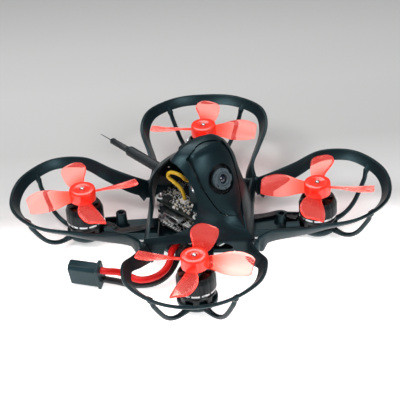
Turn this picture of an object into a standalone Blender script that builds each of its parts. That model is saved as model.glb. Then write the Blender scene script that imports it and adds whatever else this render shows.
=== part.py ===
"""FPV racing drone with a one-piece pod, four prop guards and four brushless motors.

Sizes are in millimetres and are scaled to metres when a node is made. +Z is up, the nose points
along -Y, the drone's right is -X, and the origin is on the ground under the middle of the frame.
"""
import math

import bmesh
import bpy
from mathutils import Matrix, Vector

MM = 0.001
GAP = 0.3                       # clearance between neighbouring pieces

# driving dimensions
WHEELBASE = 87.0                # motor to motor across a diagonal
MOTOR_XY = WHEELBASE / 2 / math.sqrt(2)
HUB_TOP = 22.5                  # top of the propeller hubs
ARM_BOTTOM = 1.6
ARM_TOP = 4.9
SEAT_RADIUS = 7.3

CORNERS = {                     # name: (x sign, y sign, spin, blade angle in degrees, wire post top)
    "front_right": (-1, -1, 1, 32, 9.0),
    "front_left": (1, -1, -1, 40, 9.0),
    "rear_right": (-1, 1, -1, 66, 11.4),
    "rear_left": (1, 1, 1, 38, 11.4),
}
POST_REACH = 29.9

# propeller
HUB_RADIUS = 4.9
HUB_HEIGHT = 4.8
PROP_BLADES = 4
BORE_RADIUS = 1.05
BLADE_STATIONS = (              # radius, chord, pitch in degrees, lead of the chord's middle
    (4.2, 4.4, 38, 0.0),
    (7.5, 6.0, 35, 0.3),
    (11.5, 8.8, 29, 0.7),
    (15.5, 9.8, 24, 0.9),
    (19.2, 8.6, 20, 0.5),
    (20.8, 6.4, 18, 0.0),
)
BLADE_THICKNESS = 0.7
BLADE_CAMBER = 0.07             # rise of the middle of a blade section, as a part of its chord

# motor
BELL_RADIUS = 7.05
BELL_INNER = 6.25
BELL_BOTTOM = 9.2
BELL_TOP = 15.5
BELL_CHAMFER = 1.2
BOSS_RADIUS = 2.7
BOSS_TOP = 17.4
SHAFT_RADIUS = 0.75
STATOR_RADIUS = 5.9
STATOR_TEETH = 9
BASE_RADIUS = 6.7
BASE_TOP = 8.8
TUBE_RADIUS = 2.0
TUBE_TOP = 14.3

# guard ring: top outer edge in the motor's own axes (out, along, height), from the outermost
# point round to the valley where two guards meet, then the depth and inward lean of the band
GUARD_KNOTS = (
    (27.1, 0.0, 20.7, 3.1, 2.8),
    (24.3, 12.5, 21.1, 3.1, 2.8),
    (14.6, 22.9, 21.4, 3.1, 2.7),
    (2.0, 25.3, 20.4, 3.6, 2.6),
    (-8.6, 22.3, 16.9, 4.8, 2.6),
    (-17.0, 19.8, 14.6, 6.2, 2.6),
)
GUARD_VALLEY = (29.4, 11.6, 6.4, 2.4)   # reach from the centre, height, depth, inward lean
GUARD_RIM = 1.2                 # width of the band's top edge
GUARD_STEPS = 2                 # stations between two knots
GUARD_TOOTH = 2.2               # small pointed tooth under the band near each valley

STRUT_KNOTS = (                 # (out, along, height) in the motor's own axes
    (18.6, 14.3, 17.1),
    (17.6, 13.2, 13.6),
    (13.9, 10.1, 6.4),
    (9.8, 6.8, 3.2),
    (5.0, 2.6, 3.2),
)
STRUT_RADIUS = 0.9

# pod: height, half width, front reach, rear reach, roundness exponent
POD_SECTIONS = (
    (5.2, 28.2, 28.2, 28.2, 0.98),
    (9.0, 28.6, 28.6, 28.6, 0.97),
    (11.0, 28.8, 28.8, 28.8, 0.955),
    (13.5, 26.2, 26.2, 26.0, 0.98),
    (17.4, 22.0, 20.4, 21.8, 1.34),
    (22.5, 19.0, 16.7, 19.1, 1.86),
    (26.5, 17.5, 14.8, 17.4, 2.0),
    (30.0, 16.5, 13.2, 14.1, 2.0),
    (34.0, 14.9, 11.6, 8.9, 2.0),
    (38.0, 11.8, 9.4, 4.4, 2.0),
    (40.3, 8.9, 7.7, 2.8, 2.0),
    (41.5, 5.6, 5.4, 1.8, 2.0),
)
POD_CROWN = (0.0, -1.5, 42.0)
POD_WALL = 1.3
SCREW_SEAT = Vector((-0.8, 2.85, 40.3))
SCREW_AXIS = Vector((0.0, 0.8, 0.6))
POD_SIDES = 32

# front half of a side window in the drone's side view (y, z), bottom to top
WINDOW = (
    (0.0, 12.5), (-4.6, 12.8), (-8.2, 14.2), (-11.2, 17.2), (-12.2, 21.8), (-11.3, 26.5), (-8.3, 32.6),
    (-4.4, 36.6), (0.0, 37.9),
)

# half of the arch through each side of the pod's foot, over an arm (along, height)
ARCH = ((13.2, 4.0), (13.0, 6.0), (12.2, 8.3), (10.2, 9.7), (6.5, 10.4), (0.0, 10.5))

# right half of the camera cover in the front view (x, z), bottom to top
COVER = (
    (0.0, 18.0), (3.2, 18.8), (5.4, 21.2), (6.9, 25.0), (7.9, 29.2), (8.3, 33.5), (8.0, 38.0), (5.8, 40.7),
    (0.0, 41.7),
)
COVER_BACK = -3.0               # the cover reaches back to this plane

CAMERA_TILT = math.radians(24)
LENS_CENTRE = Vector((0.0, -14.3, 31.4))
LENS_AXIS = Vector((0.0, -math.cos(CAMERA_TILT), math.sin(CAMERA_TILT)))
LENS_TO_PIVOT = 8.0
PORT_RADIUS = 6.2
LENS_RING_RADIUS = 4.0
LENS_NOTCHES = 6
CAMERA_HALF = 6.0               # half width and half height of the camera's case

# board stack
BOARD_HALF = 12.4
BOARD_CORNER = 2.4
BOARD_THICKNESS = 1.0
ESC_Z = 7.6
FC_Z = 12.2
VTX_Z = 17.0
STACK_XY = 10.0
STACK_RADIUS = 0.95
STACK_TOP = 20.2
BUTTON_SEAT = Vector((-7.0, -4.4, VTX_Z + BOARD_THICKNESS))
# block on the lowest board that takes the battery wires
PADS = ((-14.3, -9.2, 5.9), (-11.8, -3.2, 8.55))

# antenna, from inside the pod straight back with a slight rise
ANTENNA_START = Vector((0.0, 17.0, 20.1))
ANTENNA_AXIS = Vector((0.0, 1.0, 0.03)).normalized()
SLEEVE_RADIUS = 2.05
SLEEVE_LENGTH = 24.4
TIP_RADIUS = 1.05
TIP_LENGTH = 8.6
WHIP_RADIUS = 0.25
WHIP_LENGTH = 6.8

# camera cable, from a plug on the upper board up and over to the camera's back
CABLE_RADIUS = 0.7
CABLE_ROUTE = (
    (-7.0, 0.6, 19.6), (-7.0, 0.6, 20.8), (-7.3, 1.7, 23.6), (-8.3, 4.2, 26.0), (-9.0, 6.4, 27.6),
    (-9.1, 5.7, 29.6), (-9.0, 3.4, 30.8), (-8.8, 0.7, 31.1), (-7.8, -0.5, 29.9), (-6.4, 0.5, 28.1),
    (-4.9, 0.1, 26.8), (-4.5, -1.76, 27.6),
)

# battery lead: routes of the two wires from the pads on the lowest board to the plug
WIRE_RADIUS = 1.25
RED_ROUTE = (
    (-14.6, -4.6, 7.2), (-16.4, -4.8, 7.2), (-18.8, -5.8, 7.2), (-21.6, -7.4, 7.4), (-24.5, -10.0, 7.5),
    (-27.0, -11.9, 7.1), (-29.8, -12.8, 6.3), (-32.4, -12.6, 5.5), (-34.8, -11.7, 5.0), (-36.9, -10.3, 4.7),
    (-38.6, -8.5, 4.7), (-39.6, -6.3, 5.0), (-40.8, -3.9, 5.9), (-42.9, -1.9, 7.1), (-45.7, 0.1, 7.9),
)
BLACK_ROUTE = (
    (-14.6, -7.7, 7.2), (-16.2, -7.7, 7.0), (-18.2, -7.9, 5.6), (-20.4, -8.9, 4.7), (-22.6, -10.1, 4.2),
    (-24.8, -11.1, 3.6), (-27.8, -11.9, 2.9), (-31.3, -11.9, 2.3), (-34.2, -10.8, 1.8), (-36.5, -9.1, 1.6),
    (-38.8, -6.8, 1.6), (-40.8, -4.3, 1.9), (-42.7, -1.6, 2.5), (-44.7, 0.7, 3.1),
)
PLUG_MOUTH = Vector((-46.5, 2.4, 5.7))
PLUG_AXIS = Vector((-0.5, 0.866, 0.0)).normalized()
PLUG_LEAN = math.radians(14)    # the plug's upper edge leans out over its lower edge
PLUG_ACROSS = Vector((-PLUG_AXIS.y, PLUG_AXIS.x, 0))
PLUG_UP = math.cos(PLUG_LEAN) * Vector((0, 0, 1)) + math.sin(PLUG_LEAN) * PLUG_ACROSS
PLUG_SIDE = math.cos(PLUG_LEAN) * PLUG_ACROSS - math.sin(PLUG_LEAN) * Vector((0, 0, 1))
PIN_SPACING = 4.9


# ---------------------------------------------------------------- helpers
def clear_scene():
    for old in list(bpy.data.objects):
        bpy.data.objects.remove(old, do_unlink=True)


def material(name, colour, roughness, metallic=0.0):
    mat = bpy.data.materials.new(name)
    mat.use_nodes = True
    shader = mat.node_tree.nodes["Principled BSDF"]
    shader.inputs["Base Color"].default_value = (*colour, 1.0)
    shader.inputs["Roughness"].default_value = roughness
    shader.inputs["Metallic"].default_value = metallic
    mat.diffuse_color = (*colour, 1.0)
    return mat


def add_object(name, bm, mat=None, origin=(0, 0, 0)):
    """Make one object from a bmesh in millimetres, with its origin at the given point."""
    bmesh.ops.recalc_face_normals(bm, faces=bm.faces)
    bmesh.ops.translate(bm, verts=bm.verts, vec=-Vector(origin))
    bmesh.ops.scale(bm, verts=bm.verts, vec=(MM, MM, MM))
    mesh = bpy.data.meshes.new(name)
    bm.to_mesh(mesh)
    bm.free()
    mesh.shade_smooth()
    mesh.set_sharp_from_angle(angle=math.radians(35))
    if mat:
        mesh.materials.append(mat)
    obj = bpy.data.objects.new(name, mesh)
    obj.location = Vector(origin) * MM
    bpy.context.scene.collection.objects.link(obj)
    return obj


def boolean(obj, cutter, operation="DIFFERENCE"):
    mod = obj.modifiers.new(cutter.name, "BOOLEAN")
    mod.object = cutter
    mod.operation = operation
    mod.solver = "EXACT"
    cutter.hide_render = True
    cutter.display_type = "WIRE"


def loft(bm, loops):
    """Skin closed loops of equally many points and close both ends."""
    rows = [[bm.verts.new(point) for point in loop] for loop in loops]
    count = len(rows[0])
    for low, high in zip(rows, rows[1:]):
        for i in range(count):
            j = (i + 1) % count
            bm.faces.new((low[i], low[j], high[j], high[i]))
    bm.faces.new(list(reversed(rows[0])))
    bm.faces.new(rows[-1])


def turn(bm, profile, sides, centre=(0, 0, 0), axis=(0, 0, 1)):
    """Turn a closed profile of (radius, height) points round an axis into a ring or a solid."""
    frame = Vector(axis).to_track_quat("Z", "Y").to_matrix().to_4x4()
    place = Matrix.Translation(centre) @ frame
    rows = []
    for radius, height in profile:
        if radius < 1e-6:
            rows.append([bm.verts.new(place @ Vector((0, 0, height)))] * sides)
            continue
        angles = [2 * math.pi * i / sides for i in range(sides)]
        rows.append([bm.verts.new(place @ Vector((radius * math.cos(a), radius * math.sin(a), height)))
                     for a in angles])
    for low, high in zip(rows, rows[1:] + rows[:1]):
        for i in range(sides):
            j = (i + 1) % sides
            corners = list(dict.fromkeys((low[i], low[j], high[j], high[i])))
            if len(corners) > 2:
                bm.faces.new(corners)


def prism(bm, outline, depth_vector):
    """Extrude a flat outline of 3-D points along a vector."""
    loft(bm, [[Vector(p) for p in outline], [Vector(p) + Vector(depth_vector) for p in outline]])


def box(bm, low, high):
    outline = [(low[0], low[1], low[2]), (high[0], low[1], low[2]), (high[0], high[1], low[2]),
               (low[0], high[1], low[2])]
    prism(bm, outline, (0, 0, high[2] - low[2]))


def spline(points, steps):
    """Points on a smooth curve through the given ones (Catmull-Rom)."""
    pts = [Vector(p) for p in points]
    ends = [2 * pts[0] - pts[1]] + pts + [2 * pts[-1] - pts[-2]]
    out = []
    for a, b, c, d in zip(ends, ends[1:], ends[2:], ends[3:]):
        for k in range(steps):
            t = k / steps
            out.append(0.5 * ((2 * b) + (c - a) * t + (2 * a - 5 * b + 4 * c - d) * t * t
                              + (3 * b - a - 3 * c + d) * t ** 3))
    out.append(pts[-1])
    return out


def tube_loops(path, radius, sides):
    """Round loops along a path, kept upright, for a bent rod."""
    loops = []
    for i, point in enumerate(path):
        ahead = path[min(i + 1, len(path) - 1)] - path[max(i - 1, 0)]
        side = ahead.cross(Vector((0, 0, 1))).normalized()
        top = side.cross(ahead).normalized()
        loops.append([point + radius * (math.cos(a) * side + math.sin(a) * top)
                      for a in (2 * math.pi * k / sides for k in range(sides))])
    return loops


def motor_frame(corner):
    """The motor's place, its outward direction and the direction along the guard."""
    sx, sy = CORNERS[corner][:2]
    centre = Vector((sx * MOTOR_XY, sy * MOTOR_XY, 0))
    out = Vector((sx, sy, 0)).normalized()
    along = Vector((-out.y, out.x, 0))
    return centre, out, along


# ---------------------------------------------------------------- prop guards
def guard_stations():
    """Band stations from one valley to the other: edge point, depth and lean."""
    reach, height, depth, lean = GUARD_VALLEY
    valley = ((reach - WHEELBASE / math.sqrt(2)) / math.sqrt(2), reach / math.sqrt(2), height, depth, lean)
    half = list(GUARD_KNOTS) + [valley]
    knots = [(u, -v, *rest) for u, v, *rest in reversed(half[1:])] + half
    edge = spline([k[:3] for k in knots], GUARD_STEPS)
    shape = spline([(k[3], k[4], 0) for k in knots], GUARD_STEPS)
    return edge, shape


def guard_ring(corner, mat):
    centre, out, along = motor_frame(corner)
    edge, shape = guard_stations()
    path = [centre + e.x * out + e.y * along + Vector((0, 0, e.z)) for e in edge]
    loops = []
    for i, point in enumerate(path):
        ahead = (path[min(i + 1, len(path) - 1)] - path[max(i - 1, 0)]).normalized()
        if i in (0, len(path) - 1):
            axis = Vector((round(point.x / 40), round(point.y / 40), 0))
            inward = (centre - axis * centre.dot(axis)).normalized()
            point = point + inward * GAP / 2
        else:
            inward = Vector((0, 0, 1)).cross(ahead).normalized()
        tooth = GUARD_TOOTH if i in (1, len(path) - 2) else 0
        depth, lean = shape[i].x + tooth, shape[i].y
        drop = Vector((0, 0, -depth))
        loops.append([
            point,
            point + inward * GUARD_RIM,
            point + inward * (lean + 0.9) + drop + Vector((0, 0, 0.3)),
            point + inward * lean + drop,
            point + inward * (lean - 0.6) + drop + Vector((0, 0, 0.5)),
            point + Vector((0, 0, -0.7)),
        ])
    bm = bmesh.new()
    loft(bm, loops)
    return add_object("guard_ring_" + corner, bm, mat)


# ---------------------------------------------------------------- arms, seats, feet and struts
def arm(corner, mat):
    """An arm of the lower frame: bar, motor seat with its round foot, wire post and two struts."""
    centre, out, along = motor_frame(corner)
    motor_reach = WHEELBASE / 2
    half_width = 3.6
    inner = 16.4
    name = "arm_" + corner

    def place(u, v, z):
        return out * u + along * v + Vector((0, 0, z))

    bm = bmesh.new()
    bar = [place(inner, -half_width - 1.4, ARM_BOTTOM), place(motor_reach - 2, -half_width, ARM_BOTTOM),
           place(motor_reach - 2, half_width, ARM_BOTTOM), place(inner, half_width + 1.4, ARM_BOTTOM)]
    prism(bm, bar, (0, 0, ARM_TOP - ARM_BOTTOM))
    base = add_object(name, bm, mat)

    bm = bmesh.new()
    turn(bm, ((0, ARM_TOP), (SEAT_RADIUS, ARM_TOP), (SEAT_RADIUS, 3.4), (SEAT_RADIUS - 1.6, ARM_BOTTOM),
              (3.4, 1.0), (2.3, 0.25), (1.2, 0), (0, 0)), 18, centre)
    boolean(base, add_object(name + "_seat_shape", bm), "UNION")

    bm = bmesh.new()
    top = CORNERS[corner][4]
    turn(bm, ((0, 3.0), (2.2, 3.0), (2.0, top), (1.1, top), (1.1, top - 3), (0, top - 3)), 10,
         place(POST_REACH, 0, 0))
    boolean(base, add_object(name + "_post_shape", bm), "UNION")

    for side in (-1, 1):
        path = [centre + out * u + along * side * v + Vector((0, 0, z))
                for u, v, z in spline(STRUT_KNOTS, 2)]
        bm = bmesh.new()
        loft(bm, tube_loops(path, STRUT_RADIUS, 6))
        tag = "_strut_a_shape" if side < 0 else "_strut_b_shape"
        boolean(base, add_object(name + tag, bm), "UNION")
    return base


def base_plate(mat):
    """The square floor of the lower frame between the arms."""
    reach = 16.1
    corner = 4.6
    bm = bmesh.new()
    outline = []
    for k in range(4):
        out = Vector((math.cos(math.pi / 4 + k * math.pi / 2), math.sin(math.pi / 4 + k * math.pi / 2), 0))
        along = Vector((-out.y, out.x, 0))
        for v in (-(reach - corner), reach - corner):
            outline.append(out * reach + along * v + Vector((0, 0, 3.0)))
    prism(bm, outline, (0, 0, ARM_TOP - 3.0))
    return add_object("base_plate", bm, mat)


# ---------------------------------------------------------------- motors and propellers
def motor_base(corner, mat):
    """The fixed half of a motor: flange and bearing tube, open from top to bottom."""
    centre = motor_frame(corner)[0]
    bm = bmesh.new()
    turn(bm, ((BORE_RADIUS, ARM_TOP + GAP), (BASE_RADIUS, ARM_TOP + GAP), (BASE_RADIUS, BASE_TOP - 0.6),
              (BASE_RADIUS - 0.6, BASE_TOP), (TUBE_RADIUS, BASE_TOP), (TUBE_RADIUS, TUBE_TOP),
              (BORE_RADIUS, TUBE_TOP)), 16, centre)
    return add_object("motor_base_" + corner, bm, mat)


def motor_stator(corner, mat):
    """Nine wound teeth round the bearing tube."""
    centre = motor_frame(corner)[0]
    inner = TUBE_RADIUS + GAP
    low, high = BASE_TOP + GAP, 13.8
    steps = STATOR_TEETH * 2
    slot_depth = 1.5
    walls = ((inner, inner, low), (STATOR_RADIUS, STATOR_RADIUS - slot_depth, low),
             (STATOR_RADIUS, STATOR_RADIUS - slot_depth, high), (inner, inner, high))
    bm = bmesh.new()
    loops = []
    for tooth, slot, height in walls:
        loop = []
        for i in range(steps):
            radius = slot if i % 2 else tooth
            a = 2 * math.pi * i / steps
            loop.append(bm.verts.new(centre + Vector((radius * math.cos(a), radius * math.sin(a), height))))
        loops.append(loop)
    for a, b in zip(loops, loops[1:] + loops[:1]):
        for i in range(steps):
            j = (i + 1) % steps
            bm.faces.new((a[i], a[j], b[j], b[i]))
    return add_object("motor_stator_" + corner, bm, mat)


def motor_bell(corner, mat):
    """The turning can: a cup with a slotted top and a boss that carries the propeller."""
    centre = motor_frame(corner)[0]
    name = "motor_bell_" + corner
    bm = bmesh.new()
    turn(bm, ((BELL_INNER, BELL_BOTTOM), (BELL_RADIUS, BELL_BOTTOM), (BELL_RADIUS, BELL_TOP - BELL_CHAMFER),
              (BELL_RADIUS - 0.9, BELL_TOP), (BOSS_RADIUS, BELL_TOP), (BOSS_RADIUS, BOSS_TOP),
              (BORE_RADIUS, BOSS_TOP), (BORE_RADIUS, BELL_TOP - 0.9), (BELL_INNER, BELL_TOP - 0.9)),
         18, centre)
    bell = add_object(name, bm, mat, origin=centre)
    bm = bmesh.new()
    slots = 6
    for k in range(slots):
        middle = 2 * math.pi * k / slots
        outline = [centre + Vector((r * math.cos(middle + w), r * math.sin(middle + w), BELL_TOP - 2.0))
                   for r, w in ((3.3, -0.26), (5.4, -0.30), (5.4, 0.30), (3.3, 0.26))]
        prism(bm, outline, (0, 0, 4.0))
    boolean(bell, add_object(name + "_slots_shape", bm, origin=centre))
    return bell


def motor_shaft(corner, mat):
    centre = motor_frame(corner)[0]
    bm = bmesh.new()
    turn(bm, ((0, ARM_TOP + GAP), (SHAFT_RADIUS, ARM_TOP + GAP), (SHAFT_RADIUS, HUB_TOP + 0.1),
              (SHAFT_RADIUS - 0.2, HUB_TOP + 0.3), (0, HUB_TOP + 0.3)), 10, centre)
    return add_object("motor_shaft_" + corner, bm, mat, origin=centre)


def propeller(corner, mat):
    """A hub with four cambered blades, their leading edges high and turned to the spin."""
    centre = motor_frame(corner)[0]
    spin, angle = CORNERS[corner][2:4]
    name = "propeller_" + corner
    hub_bottom = HUB_TOP - HUB_HEIGHT
    bm = bmesh.new()
    turn(bm, ((BORE_RADIUS, hub_bottom), (HUB_RADIUS, hub_bottom), (HUB_RADIUS, HUB_TOP - 0.4),
              (HUB_RADIUS - 0.4, HUB_TOP), (BORE_RADIUS, HUB_TOP)), 16, centre)
    hub = add_object(name, bm, mat, origin=centre)
    for k in range(PROP_BLADES):
        turned = math.radians(angle + 90 * k)
        radial = Vector((math.cos(turned), math.sin(turned), 0))
        forward = Vector((-radial.y, radial.x, 0)) * spin
        loops = []
        for radius, chord, pitch, lead in BLADE_STATIONS:
            slope = math.radians(pitch)
            across = forward * math.cos(slope) + Vector((0, 0, math.sin(slope)))
            normal = Vector((0, 0, math.cos(slope))) - forward * math.sin(slope)
            middle = centre + radial * radius + forward * lead
            middle.z = HUB_TOP - HUB_HEIGHT / 2 - 0.2
            half = chord / 2
            rise = chord * BLADE_CAMBER
            thick = BLADE_THICKNESS / 2
            upper = [(half, 0), (half * 0.35, rise + thick), (-half * 0.35, rise * 0.9 + thick), (-half, 0.1)]
            lower = [(-half, -0.25), (-half * 0.35, rise * 0.9 - thick), (half * 0.35, rise - thick),
                     (half, -0.3)]
            loops.append([middle + across * a + normal * b for a, b in upper + lower])
        bm = bmesh.new()
        loft(bm, loops)
        boolean(hub, add_object(f"{name}_blade_{k}_shape", bm, origin=centre), "UNION")
    return hub


def motor_wires(corner, mat):
    """Three phase wires side by side, from the motor flange along the arm into the pod."""
    centre, out, along = motor_frame(corner)
    start = WHEELBASE / 2 - BASE_RADIUS - 3 * GAP
    route = ((start, 0.3, 6.6), (start - 2.2, 1.4, 6.1), (30.0, 4.35, 6.1), (24.5, 3.2, 6.0),
             (18.0, 1.6, 6.2))
    path = [out * u + along * v + Vector((0, 0, z)) for u, v, z in spline(route, 2)]
    wire = 0.5
    section = ((-2.5, 0), (-2, 1), (-1, 0.5), (0, 1), (1, 0.5), (2, 1), (2.5, 0), (2, -1), (-2, -1))
    loops = []
    for i, point in enumerate(path):
        ahead = (path[min(i + 1, len(path) - 1)] - path[max(i - 1, 0)])
        side = ahead.cross(Vector((0, 0, 1))).normalized()
        loops.append([point + side * a * wire * 1.1 + Vector((0, 0, b * wire)) for a, b in section])
    bm = bmesh.new()
    loft(bm, loops)
    return add_object("motor_wires_" + corner, bm, mat)


# ---------------------------------------------------------------- pod
def pod_solid(inset, drop):
    """The pod's outer form, shrunk by a wall thickness and run down past its rim for the cavity."""
    bm = bmesh.new()
    loops = []
    sections = list(POD_SECTIONS)
    if drop:
        z, side, front, rear, power = sections[0]
        sections.insert(0, (z - drop, side, front, rear, power))
    for z, side, front, rear, power in sections:
        loop = []
        for k in range(POD_SIDES):
            a = 2 * math.pi * k / POD_SIDES
            ca, sa = math.cos(a), math.sin(a)
            x = math.copysign(abs(ca) ** (2 / power), ca) * (side - inset)
            reach = (rear if sa > 0 else front) - inset
            y = math.copysign(abs(sa) ** (2 / power), sa) * reach
            loop.append(Vector((x, y, z - inset * (z > 40))))
        loops.append(loop)
    rows = [[bm.verts.new(p) for p in loop] for loop in loops]
    for low, high in zip(rows, rows[1:]):
        for i in range(POD_SIDES):
            j = (i + 1) % POD_SIDES
            bm.faces.new((low[i], low[j], high[j], high[i]))
    crown = bm.verts.new(Vector(POD_CROWN) - Vector((0, 0, inset)))
    for i in range(POD_SIDES):
        bm.faces.new((rows[-1][i], rows[-1][(i + 1) % POD_SIDES], crown))
    bm.faces.new(list(reversed(rows[0])))
    return bm


def cover_outline(grow):
    """The camera cover's outline in the front view, both halves, grown by a clearance."""
    right = [Vector((x, 0, z)) for x, z in COVER]
    left = [Vector((-p.x, 0, p.z)) for p in reversed(right[1:-1])]
    loop = spline(right + left + [right[0]], 2)[1:-1]
    middle = Vector((0, 0, 31))
    return [p + (p - middle).normalized() * grow for p in loop]


def port_cutter(name, radius):
    bm = bmesh.new()
    turn(bm, ((0, -6), (radius, -6), (radius, 8), (0, 8)), 32, LENS_CENTRE, LENS_AXIS)
    return add_object(name, bm)


def canopy_shell(mat):
    shell = add_object("canopy_shell", pod_solid(0, 0), mat)
    boolean(shell, add_object("canopy_cavity_shape", pod_solid(POD_WALL, 4.0)))
    for tag, x in (("right", -32.0), ("left", 2.0)):
        bm = bmesh.new()
        half = [(x, y, z) for y, z in WINDOW]
        back = [(x, -y, z) for y, z in reversed(WINDOW[:-1])]
        outline = [p for p in spline(half + back, 2)[:-1] if abs(p.y) > 0.1]
        prism(bm, outline, (30.0, 0, 0))
        boolean(shell, add_object(f"window_{tag}_shape", bm))
    for corner in ("front_right", "front_left"):
        out, along = motor_frame(corner)[1:]
        bm = bmesh.new()
        half = [along * v + Vector((0, 0, z)) - out * 45 for v, z in ARCH]
        back = [-along * v + Vector((0, 0, z)) - out * 45 for v, z in reversed(ARCH[:-1])]
        prism(bm, half + back, out * 90)
        boolean(shell, add_object(f"arch_{corner}_shape", bm))
    bm = bmesh.new()
    outline = [Vector((p.x, -32.0, p.z)) for p in cover_outline(GAP / 2)]
    prism(bm, outline, (0, 32.0 + COVER_BACK + GAP, 0))
    boolean(shell, add_object("cover_opening_shape", bm))
    bm = bmesh.new()
    turn(bm, ((0, -4), (SLEEVE_RADIUS + 0.5, -4), (SLEEVE_RADIUS + 0.5, 14), (0, 14)), 20,
         ANTENNA_START, ANTENNA_AXIS)
    boolean(shell, add_object("antenna_opening_shape", bm))
    return shell


def canopy_screw(mat):
    """The screw behind the crown that ties the pod to the camera bracket."""
    bm = bmesh.new()
    turn(bm, ((0, GAP), (1.1, GAP), (1.1, 0.8), (0.7, 1.2), (0, 1.2)), 12, SCREW_SEAT, SCREW_AXIS)
    return add_object("canopy_screw", bm, mat)


def camera_cover(mat):
    cover = add_object("camera_cover", pod_solid(0, 0), mat)
    boolean(cover, add_object("cover_cavity_shape", pod_solid(POD_WALL, 4.0)))
    bm = bmesh.new()
    outline = [Vector((p.x, -32.0, p.z)) for p in cover_outline(-GAP / 2)]
    prism(bm, outline, (0, 32.0 + COVER_BACK, 0))
    boolean(cover, add_object("cover_blank_shape", bm), "INTERSECT")
    boolean(cover, port_cutter("lens_port_shape", PORT_RADIUS))
    return cover


# ---------------------------------------------------------------- camera
def camera_parts(mats):
    pivot = LENS_CENTRE - LENS_AXIS * LENS_TO_PIVOT
    frame = Matrix.Translation(pivot) @ Matrix.Rotation(-CAMERA_TILT, 4, "X")

    bm = bmesh.new()
    box(bm, (-CAMERA_HALF, -3.2, -CAMERA_HALF), (CAMERA_HALF, 4.0, CAMERA_HALF))
    bmesh.ops.bevel(bm, geom=[e for e in bm.edges if abs((e.verts[0].co - e.verts[1].co).y) > 1], offset=1.0,
                    segments=1, affect="EDGES", profile=0.5)
    bmesh.ops.transform(bm, matrix=frame, verts=bm.verts)
    add_object("camera_housing", bm, mats["plastic"], origin=pivot)

    bm = bmesh.new()
    back = -LENS_TO_PIVOT + 7.5
    turn(bm, ((1.9, -4.2), (3.1, -4.2), (3.1, back - 1.6), (LENS_RING_RADIUS, back - 1.6),
              (LENS_RING_RADIUS, back), (2.2, back), (1.9, back - 0.6)), 18, LENS_CENTRE, LENS_AXIS)
    barrel = add_object("lens_barrel", bm, mats["plastic"], origin=pivot)
    bm = bmesh.new()
    side = Vector((1, 0, 0))
    up = LENS_AXIS.cross(side)
    for k in range(LENS_NOTCHES):
        a = 2 * math.pi * k / LENS_NOTCHES + 0.3
        radial = side * math.cos(a) + up * math.sin(a)
        across = LENS_AXIS.cross(radial)
        middle = LENS_CENTRE + radial * (LENS_RING_RADIUS + 0.55)
        outline = [middle + radial * r + across * w - LENS_AXIS * 1.2
                   for r, w in ((-0.95, -0.6), (0.6, -0.8), (0.6, 0.8), (-0.95, 0.6))]
        prism(bm, outline, LENS_AXIS * 2.2)
    boolean(barrel, add_object("lens_notches_shape", bm, origin=pivot))

    bm = bmesh.new()
    turn(bm, ((0, -3.4), (1.6, -3.4), (1.6, -1.5), (1.2, -1.0), (0, -0.8)), 20, LENS_CENTRE, LENS_AXIS)
    add_object("lens_glass", bm, mats["glass"], origin=pivot)

    floor_z = 20.5
    bm = bmesh.new()
    for x in (-1, 1):
        inner, outer = sorted((x * 7.3, x * 8.1))
        box(bm, (inner, pivot.y - 2.2, floor_z + 0.3), (outer, pivot.y + 3.4, pivot.z + 2.2))
    cheeks = add_object("bracket_cheeks_shape", bm)
    bm = bmesh.new()
    half = [(0, -9.4), (6.9, -9.4), (6.9, -2.0), (11.5, -8.4), (11.5, -10.2), (10.2, -11.5), (0, -11.5)]
    outline = half + [(-x, y) for x, y in reversed(half[1:-1])]
    outline[2:3] = [(6.9, -3.6), (8.1, -3.6), (8.1, -6.0)]
    outline[-2:-1] = [(-8.1, -6.0), (-8.1, -3.6), (-6.9, -3.6)]
    prism(bm, [(x, y, floor_z) for x, y in outline], (0, 0, 0.8))
    bracket = add_object("camera_bracket", bm, mats["frame"])
    boolean(bracket, cheeks, "UNION")
    bm = bmesh.new()
    turn(bm, ((0, -12), (1.1, -12), (1.1, 12), (0, 12)), 16, pivot, (1, 0, 0))
    boolean(bracket, add_object("bracket_holes_shape", bm))

    for tag, sign in (("right", -1), ("left", 1)):
        bm = bmesh.new()
        turn(bm, ((0, CAMERA_HALF + GAP), (0.75, CAMERA_HALF + GAP), (0.75, 8.4), (1.5, 8.4), (1.5, 9.1),
                  (0, 9.1)), 12, pivot, (sign, 0, 0))
        add_object("camera_screw_" + tag, bm, mats["steel"], origin=pivot)


# ---------------------------------------------------------------- boards
def board_outline(half, corner, z):
    pts = ((half - corner, -half), (half, -half + corner), (half, half - corner), (half - corner, half),
           (-half + corner, half), (-half, half - corner), (-half, -half + corner), (-half + corner, -half))
    return [(x, y, z) for x, y in pts]


def board(name, z, chips, mat, pads=None):
    """A circuit board with four screw holes; chips are (x, y, half width, half depth, height)."""
    bm = bmesh.new()
    prism(bm, board_outline(BOARD_HALF, BOARD_CORNER, z), (0, 0, BOARD_THICKNESS))
    obj = add_object(name, bm, mat)
    bm = bmesh.new()
    for x in (-STACK_XY, STACK_XY):
        for y in (-STACK_XY, STACK_XY):
            turn(bm, ((0, z - 1), (STACK_RADIUS + GAP, z - 1), (STACK_RADIUS + GAP, z + 2), (0, z + 2)), 10,
                 (x, y, 0))
    boolean(obj, add_object(name + "_holes_shape", bm))
    bm = bmesh.new()
    for x, y, half_x, half_y, height in chips:
        box(bm, (x - half_x, y - half_y, z + 0.5), (x + half_x, y + half_y, z + BOARD_THICKNESS + height))
    if pads:
        box(bm, *pads)
    boolean(obj, add_object(name + "_chips_shape", bm), "UNION")
    return obj


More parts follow.
